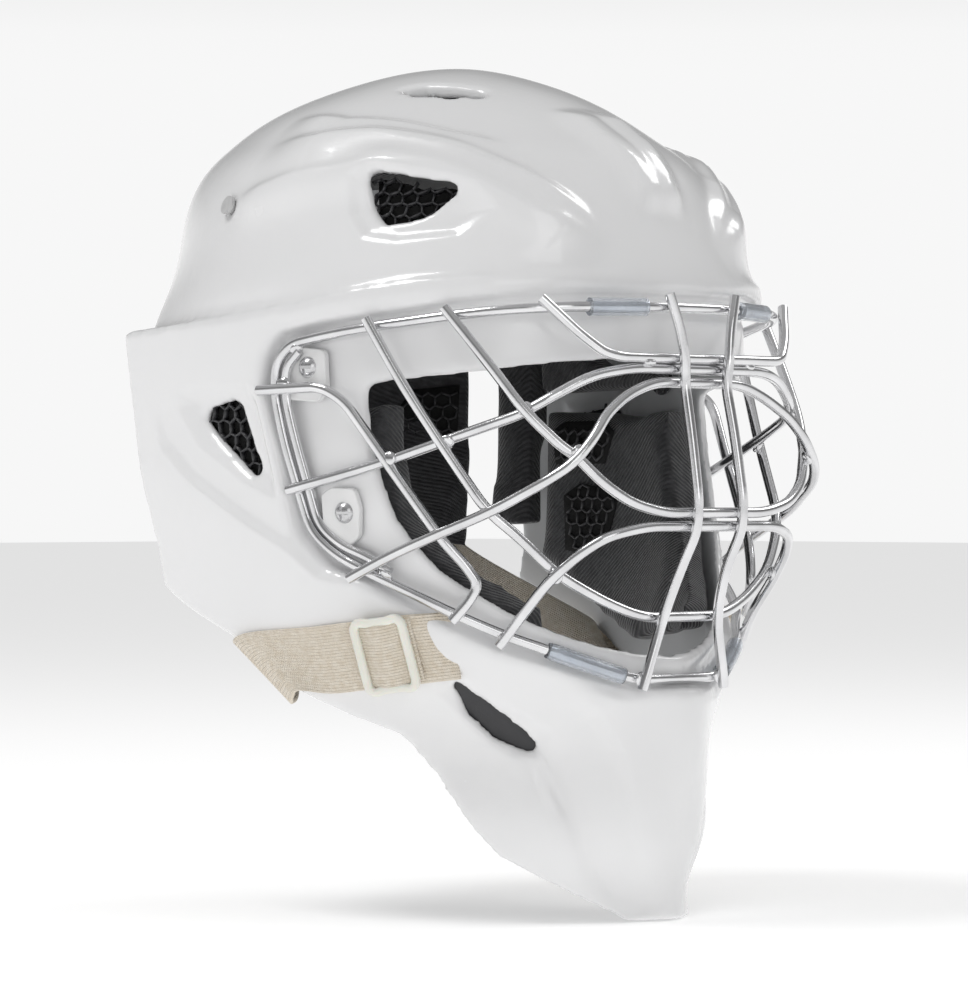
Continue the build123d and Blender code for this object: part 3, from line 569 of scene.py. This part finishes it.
def lower_sleeves():
    """Soft tubes round the frame wire, which bend with it, slightly flared at their ends."""
    points = [Vector(p) for p in SLEEVE_WAY]
    last = len(points) - 1
    vertices, faces = [], []
    for index, point in enumerate(points):
        along = points[min(index + 1, last)] - points[max(index - 1, 0)]
        side = along.cross(Vector((0, 0, 1))).normalized()
        up = side.cross(along).normalized()
        radius = SLEEVE_RADIUS if 0 < index < last else SLEEVE_RADIUS + SLEEVE_FLARE
        for turn in range(SLEEVE_SIDES):
            angle = 2 * math.pi * turn / SLEEVE_SIDES
            out = side * math.cos(angle) + up * math.sin(angle)
            vertices.append((point + out * radius) * MM)
    for row in range(last):
        for turn in range(SLEEVE_SIDES):
            corner = row * SLEEVE_SIDES + turn
            following = row * SLEEVE_SIDES + (turn + 1) % SLEEVE_SIDES
            faces.append((corner, corner + SLEEVE_SIDES, following + SLEEVE_SIDES, following))
    tube = new_object("lower_sleeve_right", vertices, faces, sleeve_plastic, None)
    wall = tube.modifiers.new("wall", "SOLIDIFY")
    wall.thickness = SLEEVE_WALL * MM
    wall.offset = -1
    apply_modifiers(tube)
    subdivided(tube)
    shade_smooth(tube)
    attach(tube, "mask")
    twin = mirror_piece(tube, "lower_sleeve_left", "mask")
    for piece in (tube, twin):
        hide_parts("cage_sleeves_bottom")


lower_sleeves()


# ---------------------------------------------------------------- pads

PAD_VOXEL = 0.004
PAD_START = 0.0012          # a pad is shrunk by this before it is blown up
PAD_CAP = 0.004             # and no point of it moves further than this
PAD_PRESSURE = 4
PAD_FRAMES = 20             # of cloth simulation


def puffed(node, name):
    """A pad blown up from its CAD solid by cloth pressure."""
    pad = copy_of(node, name)
    remeshed(pad, PAD_VOXEL)
    move_to(pad, places(pad) - normals_of(pad) * PAD_START)
    before = places(pad)
    cloth = pad.modifiers.new("cloth", "CLOTH")
    cloth.settings.use_pressure = True
    cloth.settings.uniform_pressure_force = PAD_PRESSURE
    cloth.settings.effector_weights.gravity = 0
    scene = bpy.context.scene
    for step in range(1, PAD_FRAMES + 1):
        scene.frame_set(step)
    apply_modifiers(pad)
    scene.frame_set(1)
    moved = places(pad) - before
    length = np.linalg.norm(moved, axis=1)
    moved *= (np.minimum(length, PAD_CAP) / np.maximum(length, 1e-9))[:, None]
    move_to(pad, smoothed(pad, before + moved, 2))
    subdivided(pad)
    pad.data.materials.clear()
    pad.data.materials.append(knit)
    shade_smooth(pad)
    return pad


def finish_pad(pad, node, body):
    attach(pad, body)
    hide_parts(node)


PAIRED_PADS = ("temple_pad", "ear_pad", "jaw_pad")
SINGLE_PADS = (
    ("brow_pad", "mask"), ("forehead_pad", "mask"), ("crown_pad", "mask"), ("chin_pad", "mask"),
    ("backplate_pad", "backplate"), ("chin_cup_liner", "chin_cup"),
)
pads = {}
for kind in PAIRED_PADS:
    pad = puffed(f"{kind}_right", f"soft_{kind}_right")
    twin = mirror_piece(pad, f"soft_{kind}_left", None)
    pads[f"{kind}_right"] = pad
    pads[f"{kind}_left"] = twin
    finish_pad(pad, f"{kind}_right", "mask")
    finish_pad(twin, f"{kind}_left", "mask")
for kind, body in SINGLE_PADS:
    pads[kind] = puffed(kind, f"soft_{kind}")
    finish_pad(pads[kind], kind, body)


# ---------------------------------------------------------------- lattices

CELL_JITTER = 0.16          # share of a cell by which a corner of the honeycomb may stray
BAR_OVERLAP = 0.35          # a bar runs past its ends by this share of its width


def hexagon_edges(span_a, span_b, cell):
    """Edges of a slightly uneven honeycomb that fills a flat rectangle."""
    (low_a, high_a), (low_b, high_b) = span_a, span_b
    corners = {}
    edges = set()
    step_a, step_b = cell * math.sqrt(3), cell * 1.5
    rows = int((high_b - low_b) / step_b) + 3
    columns = int((high_a - low_a) / step_a) + 3
    for row in range(-1, rows):
        for column in range(-1, columns):
            centre_a = low_a + (column + 0.5 * (row % 2)) * step_a
            centre_b = low_b + row * step_b
            ring = []
            for turn in range(6):
                angle = math.radians(60 * turn + 30)
                a, b = centre_a + cell * math.cos(angle), centre_b + cell * math.sin(angle)
                key = (round(a / cell * 4), round(b / cell * 4))    # the same for cells that share it
                if key not in corners:
                    shake = [rng.uniform(-CELL_JITTER, CELL_JITTER) * cell for _ in range(2)]
                    corners[key] = (a + shake[0], b + shake[1])
                ring.append(key)
            edges.update(tuple(sorted(pair)) for pair in zip(ring, ring[1:] + ring[:1]))
    return [(corners[p], corners[q]) for p, q in sorted(edges)]


def lattice(name, target, outline, cast, cell, bar, depth, lift=0.0, body="mask"):
    """Honeycomb bars laid on a target's surface inside an outline, all in mm.

    The cast turns a flat (a, b) into the start and direction of a ray at the target.
    """
    flat = np.array(outline)
    low, high = flat.min(0), flat.max(0)
    tree = tree_of(target)
    vertices, faces = [], []
    for ends in hexagon_edges(*zip(low, high), cell):
        if min(inside_distance(np.array(ends), outline)) < 0.1:
            continue
        hits = []
        for a, b in ends:
            start, direction = cast(a, b)
            hits.append(tree.ray_cast(Vector(start) * MM, Vector(direction)))
        if any(hit[0] is None for hit in hits):
            continue
        (p, p_normal, *_), (q, q_normal, *_) = hits
        along = (q - p).normalized()
        outward = (p_normal + q_normal).normalized()
        across = along.cross(outward).normalized() * bar / 2 * MM
        first = len(vertices)
        for end, sign in ((p, -1), (q, 1)):
            base = end + along * bar * BAR_OVERLAP * MM * sign + outward * lift * MM
            back = base - outward * depth * MM
            vertices += [base - across, base + across, back + across, back - across]
        for i in range(4):
            following = first + (i + 1) % 4
            faces.append((first + i, following, following + 4, first + 4 + i))
        faces += [(first + 3, first + 2, first + 1, first), (first + 4, first + 5, first + 6, first + 7)]
    return new_object(name, vertices, faces, lattice_black, body)


def from_right(y, z):
    return (-300, y, z), (1, 0, 0)


def from_above(x, y):
    return (x, y, 300), (0, 0, -1)


# The vents' outlines, grown a little, as (y, z), and the crown's as (x, y), in mm
GROWN_EAR = [(36, 9), (33, 16), (16, 19), (10, 17), (-2, -13), (0, -16), (8, -15), (32, 3)]
GROWN_TEMPLE = [(-34, 101), (-40, 102), (-73, 95), (-75, 92), (-62, 81), (-46, 78), (-40, 84)]
CROWN_LATTICE = [(-46, -12), (-38, -16), (-26, -40), (-30, -46), (-42, -38), (-48, -22)]


def lattice_pair(name, target, outline, cast, body="mask", node=None, **sizes):
    """A lattice on the wearer's right and its mirror image, in place of a node where one is given."""
    right = lattice(f"{name}_right", target, outline, cast, body=body, **sizes)
    for piece in (right, mirror_piece(right, f"{name}_left", body)):
        if node:
            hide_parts(node)


def vent_lattice(kind, outline, cell):
    """The honeycomb of a vent's insert, on both sides."""
    node = f"{kind}_vent_grilles"
    lattice_pair(
        f"{kind}_lattice", NODES[node], outline, from_right, node=node, cell=cell, bar=0.55, depth=2.6
    )


vent_lattice("ear", GROWN_EAR, 3.6)
vent_lattice("temple", GROWN_TEMPLE, 3.0)
paint("jaw_vent_grilles", black_plastic)
lattice_pair(
    "crown_lattice", pads["crown_pad"], CROWN_LATTICE, from_above, cell=3.2, bar=0.6, depth=2.0, lift=2.0
)


# ---------------------------------------------------------------- windows and painted shade behind the honeycombs

# Honeycomb windows let into the jaw pads, as (y, z), and into the back pad, as (arc, z), in mm
BACK_RADIUS = 96.0          # of the back pad's face, on which the arc is measured
JAW_WINDOWS = [
    [(-11, 6), (-6, -7), (22, -7), (26, 7), (20, 10), (-4, 10)],
    [(-15, -18), (-10, -36), (2, -44), (14, -42), (17, -20), (8, -15)],
]
BACK_WINDOW = [(46, 14), (54, 24), (74, 26), (73, 6), (64, -6), (50, -5)]
WINDOW_LIFT = 0.3           # of the painted-shade sheet above the pad
SHADE_SHEET_SHARE = 0.86        # size of the painted shade behind a vent's insert, against the insert
SHADE_SHEET_DEPTH = 2.4         # and how far it lies below the insert's face
SHEET_RINGS = (0.02, 0.35, 0.7, 1.0)    # a sheet's rings of points, as shares of its outline
SHEET_STEPS = 4             # points to each side of the outline
SHEET_THICKNESS = 0.4


def outwards_right(y, z):
    return (-30, y, z), (-1, 0, 0)


def outwards_back(arc, z):
    angle = -arc / BACK_RADIUS
    return (0, 0, z), (math.sin(angle), math.cos(angle), 0)


def painted_shade_panel(name, target, outline, cast, lift, body):
    """A dark sheet of painted shade laid on a target inside an outline, which stands for the shaded hole
    behind the honeycomb.
    """
    tree = tree_of(target)
    flat = np.array(outline, float)
    centre = flat.mean(0)
    rim = []
    for corner, following in zip(flat, np.roll(flat, -1, axis=0)):
        rim += [corner + (following - corner) * step / SHEET_STEPS for step in range(SHEET_STEPS)]
    vertices, faces = [], []
    start, direction = cast(*centre)
    reach = tree.ray_cast(Vector(start) * MM, Vector(direction))[3]
    for share in SHEET_RINGS:
        for point in rim:
            start, direction = cast(*(centre + (point - centre) * share))
            place, normal, *_ = tree.ray_cast(Vector(start) * MM, Vector(direction))
            if place is None:       # just beside the target, whose nearest place stands in
                beside = Vector(start) * MM + Vector(direction) * reach
                place, normal, *_ = tree.find_nearest(beside)
            vertices.append(place + normal * lift * MM)
    count = len(rim)
    for ring in range(len(SHEET_RINGS) - 1):
        for index in range(count):
            corner = ring * count + index
            following = ring * count + (index + 1) % count
            faces.append((corner, following, following + count, corner + count))
    faces.append(tuple(range(count)))
    sheet = new_object(name, vertices, faces, vent_shadow, None)
    solid = sheet.modifiers.new("thickness", "SOLIDIFY")
    solid.thickness = SHEET_THICKNESS * MM
    apply_modifiers(sheet)
    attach(sheet, body)
    return sheet


def window_pair(name, target, outline, cast, body):
    """A honeycomb window on the wearer's right and its mirror image."""
    # The dark sheet is painted shade of the window's hole, under its honeycomb
    sheet = painted_shade_panel(f"{name}_shadow_right", target, outline, cast, WINDOW_LIFT, body)
    lattice_pair(
        f"{name}_lattice", target, outline, cast, body, cell=3.4, bar=0.7, depth=1.4, lift=1.5
    )
    mirror_piece(sheet, f"{name}_shadow_left", body)


def vent_shade_sheet(kind, outline):
    """A sheet of painted shade behind a vent's insert, a little inside its border, on both sides."""
    flat = np.array(outline, float)
    middle = flat.mean(0)
    inner = middle + (flat - middle) * SHADE_SHEET_SHARE
    node = f"{kind}_vent_grilles"
    sheet = painted_shade_panel(
        f"{kind}_backing_right", NODES[node], inner, from_right, -SHADE_SHEET_DEPTH, "mask"
    )
    mirror_piece(sheet, f"{kind}_backing_left", "mask")


# Painted shade in the ear and temple vents, under their honeycombs
vent_shade_sheet("ear", GROWN_EAR)
vent_shade_sheet("temple", GROWN_TEMPLE)
for number, outline in enumerate(JAW_WINDOWS, 1):
    window_pair(f"jaw_window_{number}", pads["jaw_pad_right"], outline, outwards_right, "mask")
window_pair("back_window", pads["backplate_pad"], BACK_WINDOW, outwards_back, "backplate")


# ---------------------------------------------------------------- straps

STRAP_STEPS = 6             # points to each run of a strap
STRAP_COLUMNS = 10          # faces across it
STRAP_BEVEL = 0.35          # share of its thickness that its edges are rounded by


def curve_through(points):
    """Catmull-Rom curve through the points."""
    route = [2 * points[0] - points[1], *points, 2 * points[-1] - points[-2]]
    result = []
    for p0, p1, p2, p3 in zip(route, route[1:], route[2:], route[3:]):
        for step in range(STRAP_STEPS):
            t = step / STRAP_STEPS
            result.append(
                0.5 * (2 * p1 + (p2 - p0) * t + (2 * p0 - 5 * p1 + 4 * p2 - p3) * t * t
                       + (3 * p1 - p0 - 3 * p2 + p3) * t**3)
            )
    result.append(points[-1])
    return result


def ribbon(name, borders, thickness, mat):
    """A strap between two borders, given as pairs of points in mm, with the UV in metres."""
    upper = curve_through([Vector(a) * MM for a, b in borders])
    lower = curve_through([Vector(b) * MM for a, b in borders])
    middles = [(a + b) / 2 for a, b in zip(upper, lower)]
    travelled = [0.0]
    for before, here in zip(middles, middles[1:]):
        travelled.append(travelled[-1] + (here - before).length)
    vertices, faces = [], []
    for a, b in zip(upper, lower):
        vertices += [a.lerp(b, column / STRAP_COLUMNS) for column in range(STRAP_COLUMNS + 1)]
    stride = STRAP_COLUMNS + 1
    for row in range(len(upper) - 1):
        for column in range(STRAP_COLUMNS):
            corner = row * stride + column
            faces.append((corner, corner + 1, corner + stride + 1, corner + stride))
    strap = new_object(name, vertices, faces, mat, None)
    uv = strap.data.uv_layers.new(name="strap")
    width = (upper[0] - lower[0]).length
    for loop in strap.data.loops:
        row, column = divmod(loop.vertex_index, stride)
        uv.data[loop.index].uv = (travelled[row], column / STRAP_COLUMNS * width)
    solid = strap.modifiers.new("thickness", "SOLIDIFY")
    solid.thickness = thickness * MM
    solid.offset = 0
    solid.use_even_offset = False
    edge = strap.modifiers.new("edge", "BEVEL")
    edge.width = STRAP_BEVEL * thickness * MM
    edge.segments = 2
    edge.limit_method = "ANGLE"
    apply_modifiers(strap)
    shade_smooth(strap)
    return strap


CHEEK_MIN_X = 0.06          # in m: a ray that gets nearer to the middle has missed the cheek
CHEEK_FACING = -0.3         # and so has one that meets a face looking less outwards than this
shell_tree = tree_of(NODES["shell"])


def on_cheek(y, z, lift):
    """Place on the right cheek's outside, raised by the lift, in mm."""
    start, inwards = from_right(y, z)
    place, normal, *_ = shell_tree.ray_cast(Vector(start) * MM, Vector(inwards))
    if place is None or abs(place.x) < CHEEK_MIN_X or normal.x > CHEEK_FACING:
        raise ValueError(f"no cheek at y {y:.0f}, z {z:.0f}")
    return place / MM + normal * lift


# The straps of the wearer's right, in mm: the jaw strap's middle along the cheek as (y, z),
# from its free end backwards, and for the rest pairs of points on the two borders
STRAP_HALF = 12.5           # half width of the jaw strap
OUTER_RUN = [(-70, -75.2), (-62, -76.2), (-50, -78), (-36, -79.8), (-22, -81.5)]
OUTER_LIFT = 1.6            # of its middle above the cheek


def outer_borders():
    """Borders of the strap along the jaw, from its free end backwards."""
    borders = []
    for index, (y, z) in enumerate(OUTER_RUN):
        y0, z0 = OUTER_RUN[max(index - 1, 0)]
        y1, z1 = OUTER_RUN[min(index + 1, len(OUTER_RUN) - 1)]
        length = math.hypot(y1 - y0, z1 - z0)
        across_y = -(z1 - z0) / length * STRAP_HALF
        across_z = (y1 - y0) / length * STRAP_HALF
        borders.append((
            on_cheek(y + across_y, z + across_z, OUTER_LIFT),
            on_cheek(y - across_y, z - across_z, OUTER_LIFT),
        ))
    return borders


FOLD = [
    ((-104.0, 6, -71.5), (-99.0, -13, -93.5)),
    ((-103.6, 17, -73.5), (-98.4, -9, -96)),
    ((-101, 21.5, -75.5), (-95.5, -5.5, -98.5)),
    ((-97, 21.5, -74.5), (-91, -3.5, -97)),
    ((-94, 20, -70.5), (-87, 1, -92)),
]
INNER_RUN = [
    ((-81, 35, -59), (-76, 22, -82)),
    ((-66.5, 60, -43), (-63, 49, -64)),
    ((-58.5, 74, -30), (-54, 67.5, -51)),
    ((-51, 83, -21), (-47, 80.5, -43)),
    ((-46, 86, -17), (-42, 83, -39)),
]
UPPER_RUN = [
    ((-38, 89.5, 80), (-38, 91.5, 64.5)),
    ((-50, 83, 80.5), (-50, 84.5, 65)),
    ((-62, 76, 84.5), (-64, 76, 69)),
    ((-79, 56.5, 91), (-81, 54.5, 76)),
    ((-88, 34.5, 95.5), (-92.5, 32, 80.5)),
    ((-90.2, 21, 96.6), (-94.5, 21, 81.5)),
]
CHIN_RUN = [
    ((-31.5, -82.5, -98), (-31.5, -82.5, -110)),
    ((-37.5, -71.5, -98), (-37.5, -71.5, -110)),
    ((-56, -51, -95.5), (-56, -51, -107.5)),
    ((-78, -38, -91), (-77, -38, -103)),
    ((-79.5, -33, -91), (-78.5, -33, -103)),
]
ELASTIC_THICKNESS = 1.6
WEBBING_THICKNESS = 1.4


def strap_pair(kind, borders, thickness, mat):
    """A strap on the wearer's right and its mirror image, in place of the CAD straps."""
    right = ribbon(f"{kind}_soft_right", borders, thickness, mat)
    left = mirror_piece(right, f"{kind}_soft_left", None)
    for strap, (side, sign) in zip((right, left), SIDES):
        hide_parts(f"{kind}_{side}")
        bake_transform(strap)


strap_pair(
    "lower_strap", [*outer_borders(), *FOLD, *INNER_RUN], ELASTIC_THICKNESS, elastic,
)
strap_pair(
    "upper_strap", UPPER_RUN, ELASTIC_THICKNESS, elastic,
)
strap_pair(
    "chin_strap", CHIN_RUN, WEBBING_THICKNESS, webbing,
)


# ---------------------------------------------------------------- buckles

# The slider in mm: half sizes along and across the strap, its rail and middle bar, its corners
BUCKLE_ALONG = 11.5
BUCKLE_ACROSS = 15.5
RAIL_WIDTH = 3.4
RAIL_THICKNESS = 3.0
RAIL_SQUARENESS = 3.2       # 2 would be an oval section, more is squarer
BAR_WIDTH = 3.8
BAR_HALF_THICKNESS = 0.8
BAR_DROP = 0.9              # the middle bar lies lower than the rail, towards the cheek
CORNER = 3.0
END_DIP = 0.7               # the two ends curve in by this between the flared corners
SECTION_SIDES = 12
# The strap's way over the slider's bar: along the strap, and its height, in mm
HUMP = [
    (-12.5, -1.9), (-9.5, -1.9), (-5.5, -0.2), (-2, 1.1), (2, 1.1), (5.5, -0.2), (9.5, -1.9), (12.5, -1.9),
]
HUMP_HALF = STRAP_HALF - 0.3
HUMP_THICKNESS = 1.4


def glide_place():
    """Middle of the CAD slider and its direction outwards."""
    co = places(NODES["tri_glide_right"])
    middle = (co.min(0) + co.max(0)) / 2
    _, directions = np.linalg.eigh(np.cov((co - middle).T))
    outward = Vector(directions[:, 0])
    return Vector(middle), outward if outward.x < 0 else -outward


def section_turns():
    return [2 * math.pi * turn / SECTION_SIDES for turn in range(SECTION_SIDES)]


def rail_points():
    """Middle line of the slider's frame, with flared corners, anticlockwise."""
    reach_a = BUCKLE_ALONG - RAIL_WIDTH / 2
    reach_b = BUCKLE_ACROSS - RAIL_WIDTH / 2
    points = []
    for quadrant, (sign_a, sign_b) in enumerate(((1, 1), (-1, 1), (-1, -1), (1, -1))):
        for step in range(5):
            angle = math.radians(90 * quadrant + 22.5 * step)
            points.append((
                sign_a * (reach_a - CORNER) + CORNER * math.cos(angle),
                sign_b * (reach_b - CORNER) + CORNER * math.sin(angle), 0,
            ))
        if quadrant in (0, 2):
            for share in (0.25, 0.5, 0.75):
                a = sign_a * (reach_a - CORNER) * (1 - 2 * share)
                points.append((a, sign_b * (reach_b - END_DIP), 0))
    return points


def rail_rings(work):
    """Rounded oblong sections along the frame."""
    points = [Vector(p) for p in rail_points()]
    rings = []
    for before, here, after in zip(points[-1:] + points[:-1], points, points[1:] + points[:1]):
        run = (after - before).normalized()
        out = Vector((run.y, -run.x, 0))
        ring = []
        for angle in section_turns():
            across, up = math.cos(angle), math.sin(angle)
            fill = (abs(across)**RAIL_SQUARENESS + abs(up)**RAIL_SQUARENESS)**(-1 / RAIL_SQUARENESS)
            rise = Vector((0, 0, RAIL_THICKNESS / 2 * fill * up))
            ring.append(work.verts.new(here + out * RAIL_WIDTH / 2 * fill * across + rise))
        rings.append(ring)
    return rings


def bar_rings(work):
    """Oval sections along the middle bar."""
    end = BUCKLE_ACROSS - RAIL_WIDTH / 2
    rings = []
    for b in (-end, -BUCKLE_ACROSS / 2, 0, BUCKLE_ACROSS / 2, end):
        rings.append([
            work.verts.new((BAR_WIDTH / 2 * math.cos(angle), b,
                            BAR_HALF_THICKNESS * math.sin(angle) - BAR_DROP))
            for angle in section_turns()
        ])
    return rings


def skin(work, rings):
    """Faces between each section and the next."""
    for ring, following in zip(rings, rings[1:]):
        for turn in range(SECTION_SIDES):
            beside = (turn + 1) % SECTION_SIDES
            work.faces.new((ring[turn], ring[beside], following[beside], following[turn]))


def make_buckles():
    """The two sliders, each with the loop of strap over its bar."""
    work = bmesh.new()
    rail = rail_rings(work)
    skin(work, [*rail, rail[0]])
    skin(work, bar_rings(work))
    bmesh.ops.recalc_face_normals(work, faces=work.faces)
    buckle = object_from(work, "buckle_right", buckle_plastic)

    middle, outward = glide_place()
    travel = on_cheek(*OUTER_RUN[3], 0) - on_cheek(*OUTER_RUN[1], 0)
    travel = (travel - outward * travel.dot(outward)).normalized()
    turn = Matrix((travel, outward.cross(travel), outward)).transposed().to_4x4()
    place = Matrix.Translation(middle) @ turn @ Matrix.Scale(MM, 4)
    buckle.data.transform(place)
    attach(buckle, "right_buckle")
    twin = mirror_piece(buckle, "buckle_left", "left_buckle")

    borders = [[place @ Vector((a, side, height)) / MM for side in (HUMP_HALF, -HUMP_HALF)]
               for a, height in HUMP]
    loop_right = ribbon("strap_loop_right", borders, HUMP_THICKNESS, elastic)
    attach(loop_right, "right_buckle")
    loop_left = mirror_piece(loop_right, "strap_loop_left", "left_buckle")
    for piece, side in ((buckle, "right"), (twin, "left")):
        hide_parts(f"tri_glide_{side}")


make_buckles()


# ---------------------------------------------------------------- stage, light and camera

FLOOR_HALF = 12.0
FLOOR_GAP = 0.0005          # the floor lies this far under the chin
# Brightness of the sky from straight down (0) over the horizon (0.5) to straight up (1)
SKY = ((0.0, 0.90), (0.5, 0.98), (0.55, 0.98), (0.62, 0.26), (0.70, 0.2), (0.82, 0.42), (1.0, 0.45))
SKY_STRENGTH = 0.95
CAMERA_PLACE = (-1.2666, -1.2789, -0.0217)
CAMERA_DIRECTION = (0.7071, 0.7071, 0)
CAMERA_LENS = 164.5


def make_floor():
    level = cad_box[0][2] - FLOOR_GAP
    corners = [(x * FLOOR_HALF, y * FLOOR_HALF, level) for x, y in ((-1, -1), (1, -1), (1, 1), (-1, 1))]
    new_object("floor", corners, [(0, 1, 2, 3)], floor_paint, None)


def studio_sky():
    """Pale at the horizon, darker above it, and a bright ceiling, for the steel to reflect."""
    world = bpy.data.worlds.new("studio")
    bpy.context.scene.world = world
    world.use_nodes = True
    tree = world.node_tree
    place = tree.nodes.new("ShaderNodeTexCoord")
    split = tree.nodes.new("ShaderNodeSeparateXYZ")
    spread = tree.nodes.new("ShaderNodeMapRange")
    spread.inputs["From Min"].default_value = -1
    ramp = tree.nodes.new("ShaderNodeValToRGB")
    stops = ramp.color_ramp.elements
    stops.remove(stops[1])
    for index, (position, level) in enumerate(SKY):
        stop = stops.new(position) if index else stops[0]
        stop.position = position
        stop.color = (level, level, level, 1)
    tree.links.new(place.outputs["Generated"], split.inputs["Vector"])
    tree.links.new(split.outputs["Z"], spread.inputs["Value"])
    tree.links.new(spread.outputs["Result"], ramp.inputs["Fac"])
    tree.links.new(ramp.outputs["Color"], tree.nodes["Background"].inputs["Color"])
    tree.nodes["Background"].inputs["Strength"].default_value = SKY_STRENGTH


def facing(direction):
    """The turn that points a lamp or a camera in a direction."""
    return Vector(direction).to_track_quat("-Z", "Y").to_euler()


def area_light(name, place, target, size, power):
    light = bpy.data.lights.new(name, "AREA")
    light.size = size
    light.energy = power
    lamp = linked(name, light)
    lamp.location = place
    lamp.rotation_euler = facing(Vector(target) - Vector(place))


def make_camera():
    data = bpy.data.cameras.new("camera")
    data.lens = CAMERA_LENS
    data.sensor_width = 36
    camera = linked("camera", data)
    camera.location = CAMERA_PLACE
    camera.rotation_euler = facing(CAMERA_DIRECTION)
    bpy.context.scene.camera = camera


make_floor()
studio_sky()
area_light("key", (-1.0, 0.5, 2.0), (0, 0, 0.03), 0.8, 17)
area_light("front", (-0.9, -1.9, 0.7), (0, 0, -0.02), 1.0, 3.5)
area_light("rim", (1.5, -0.3, 1.4), (0, 0, 0.05), 0.7, 6.0)
make_camera()
bpy.context.scene.view_settings.view_transform = "Standard"
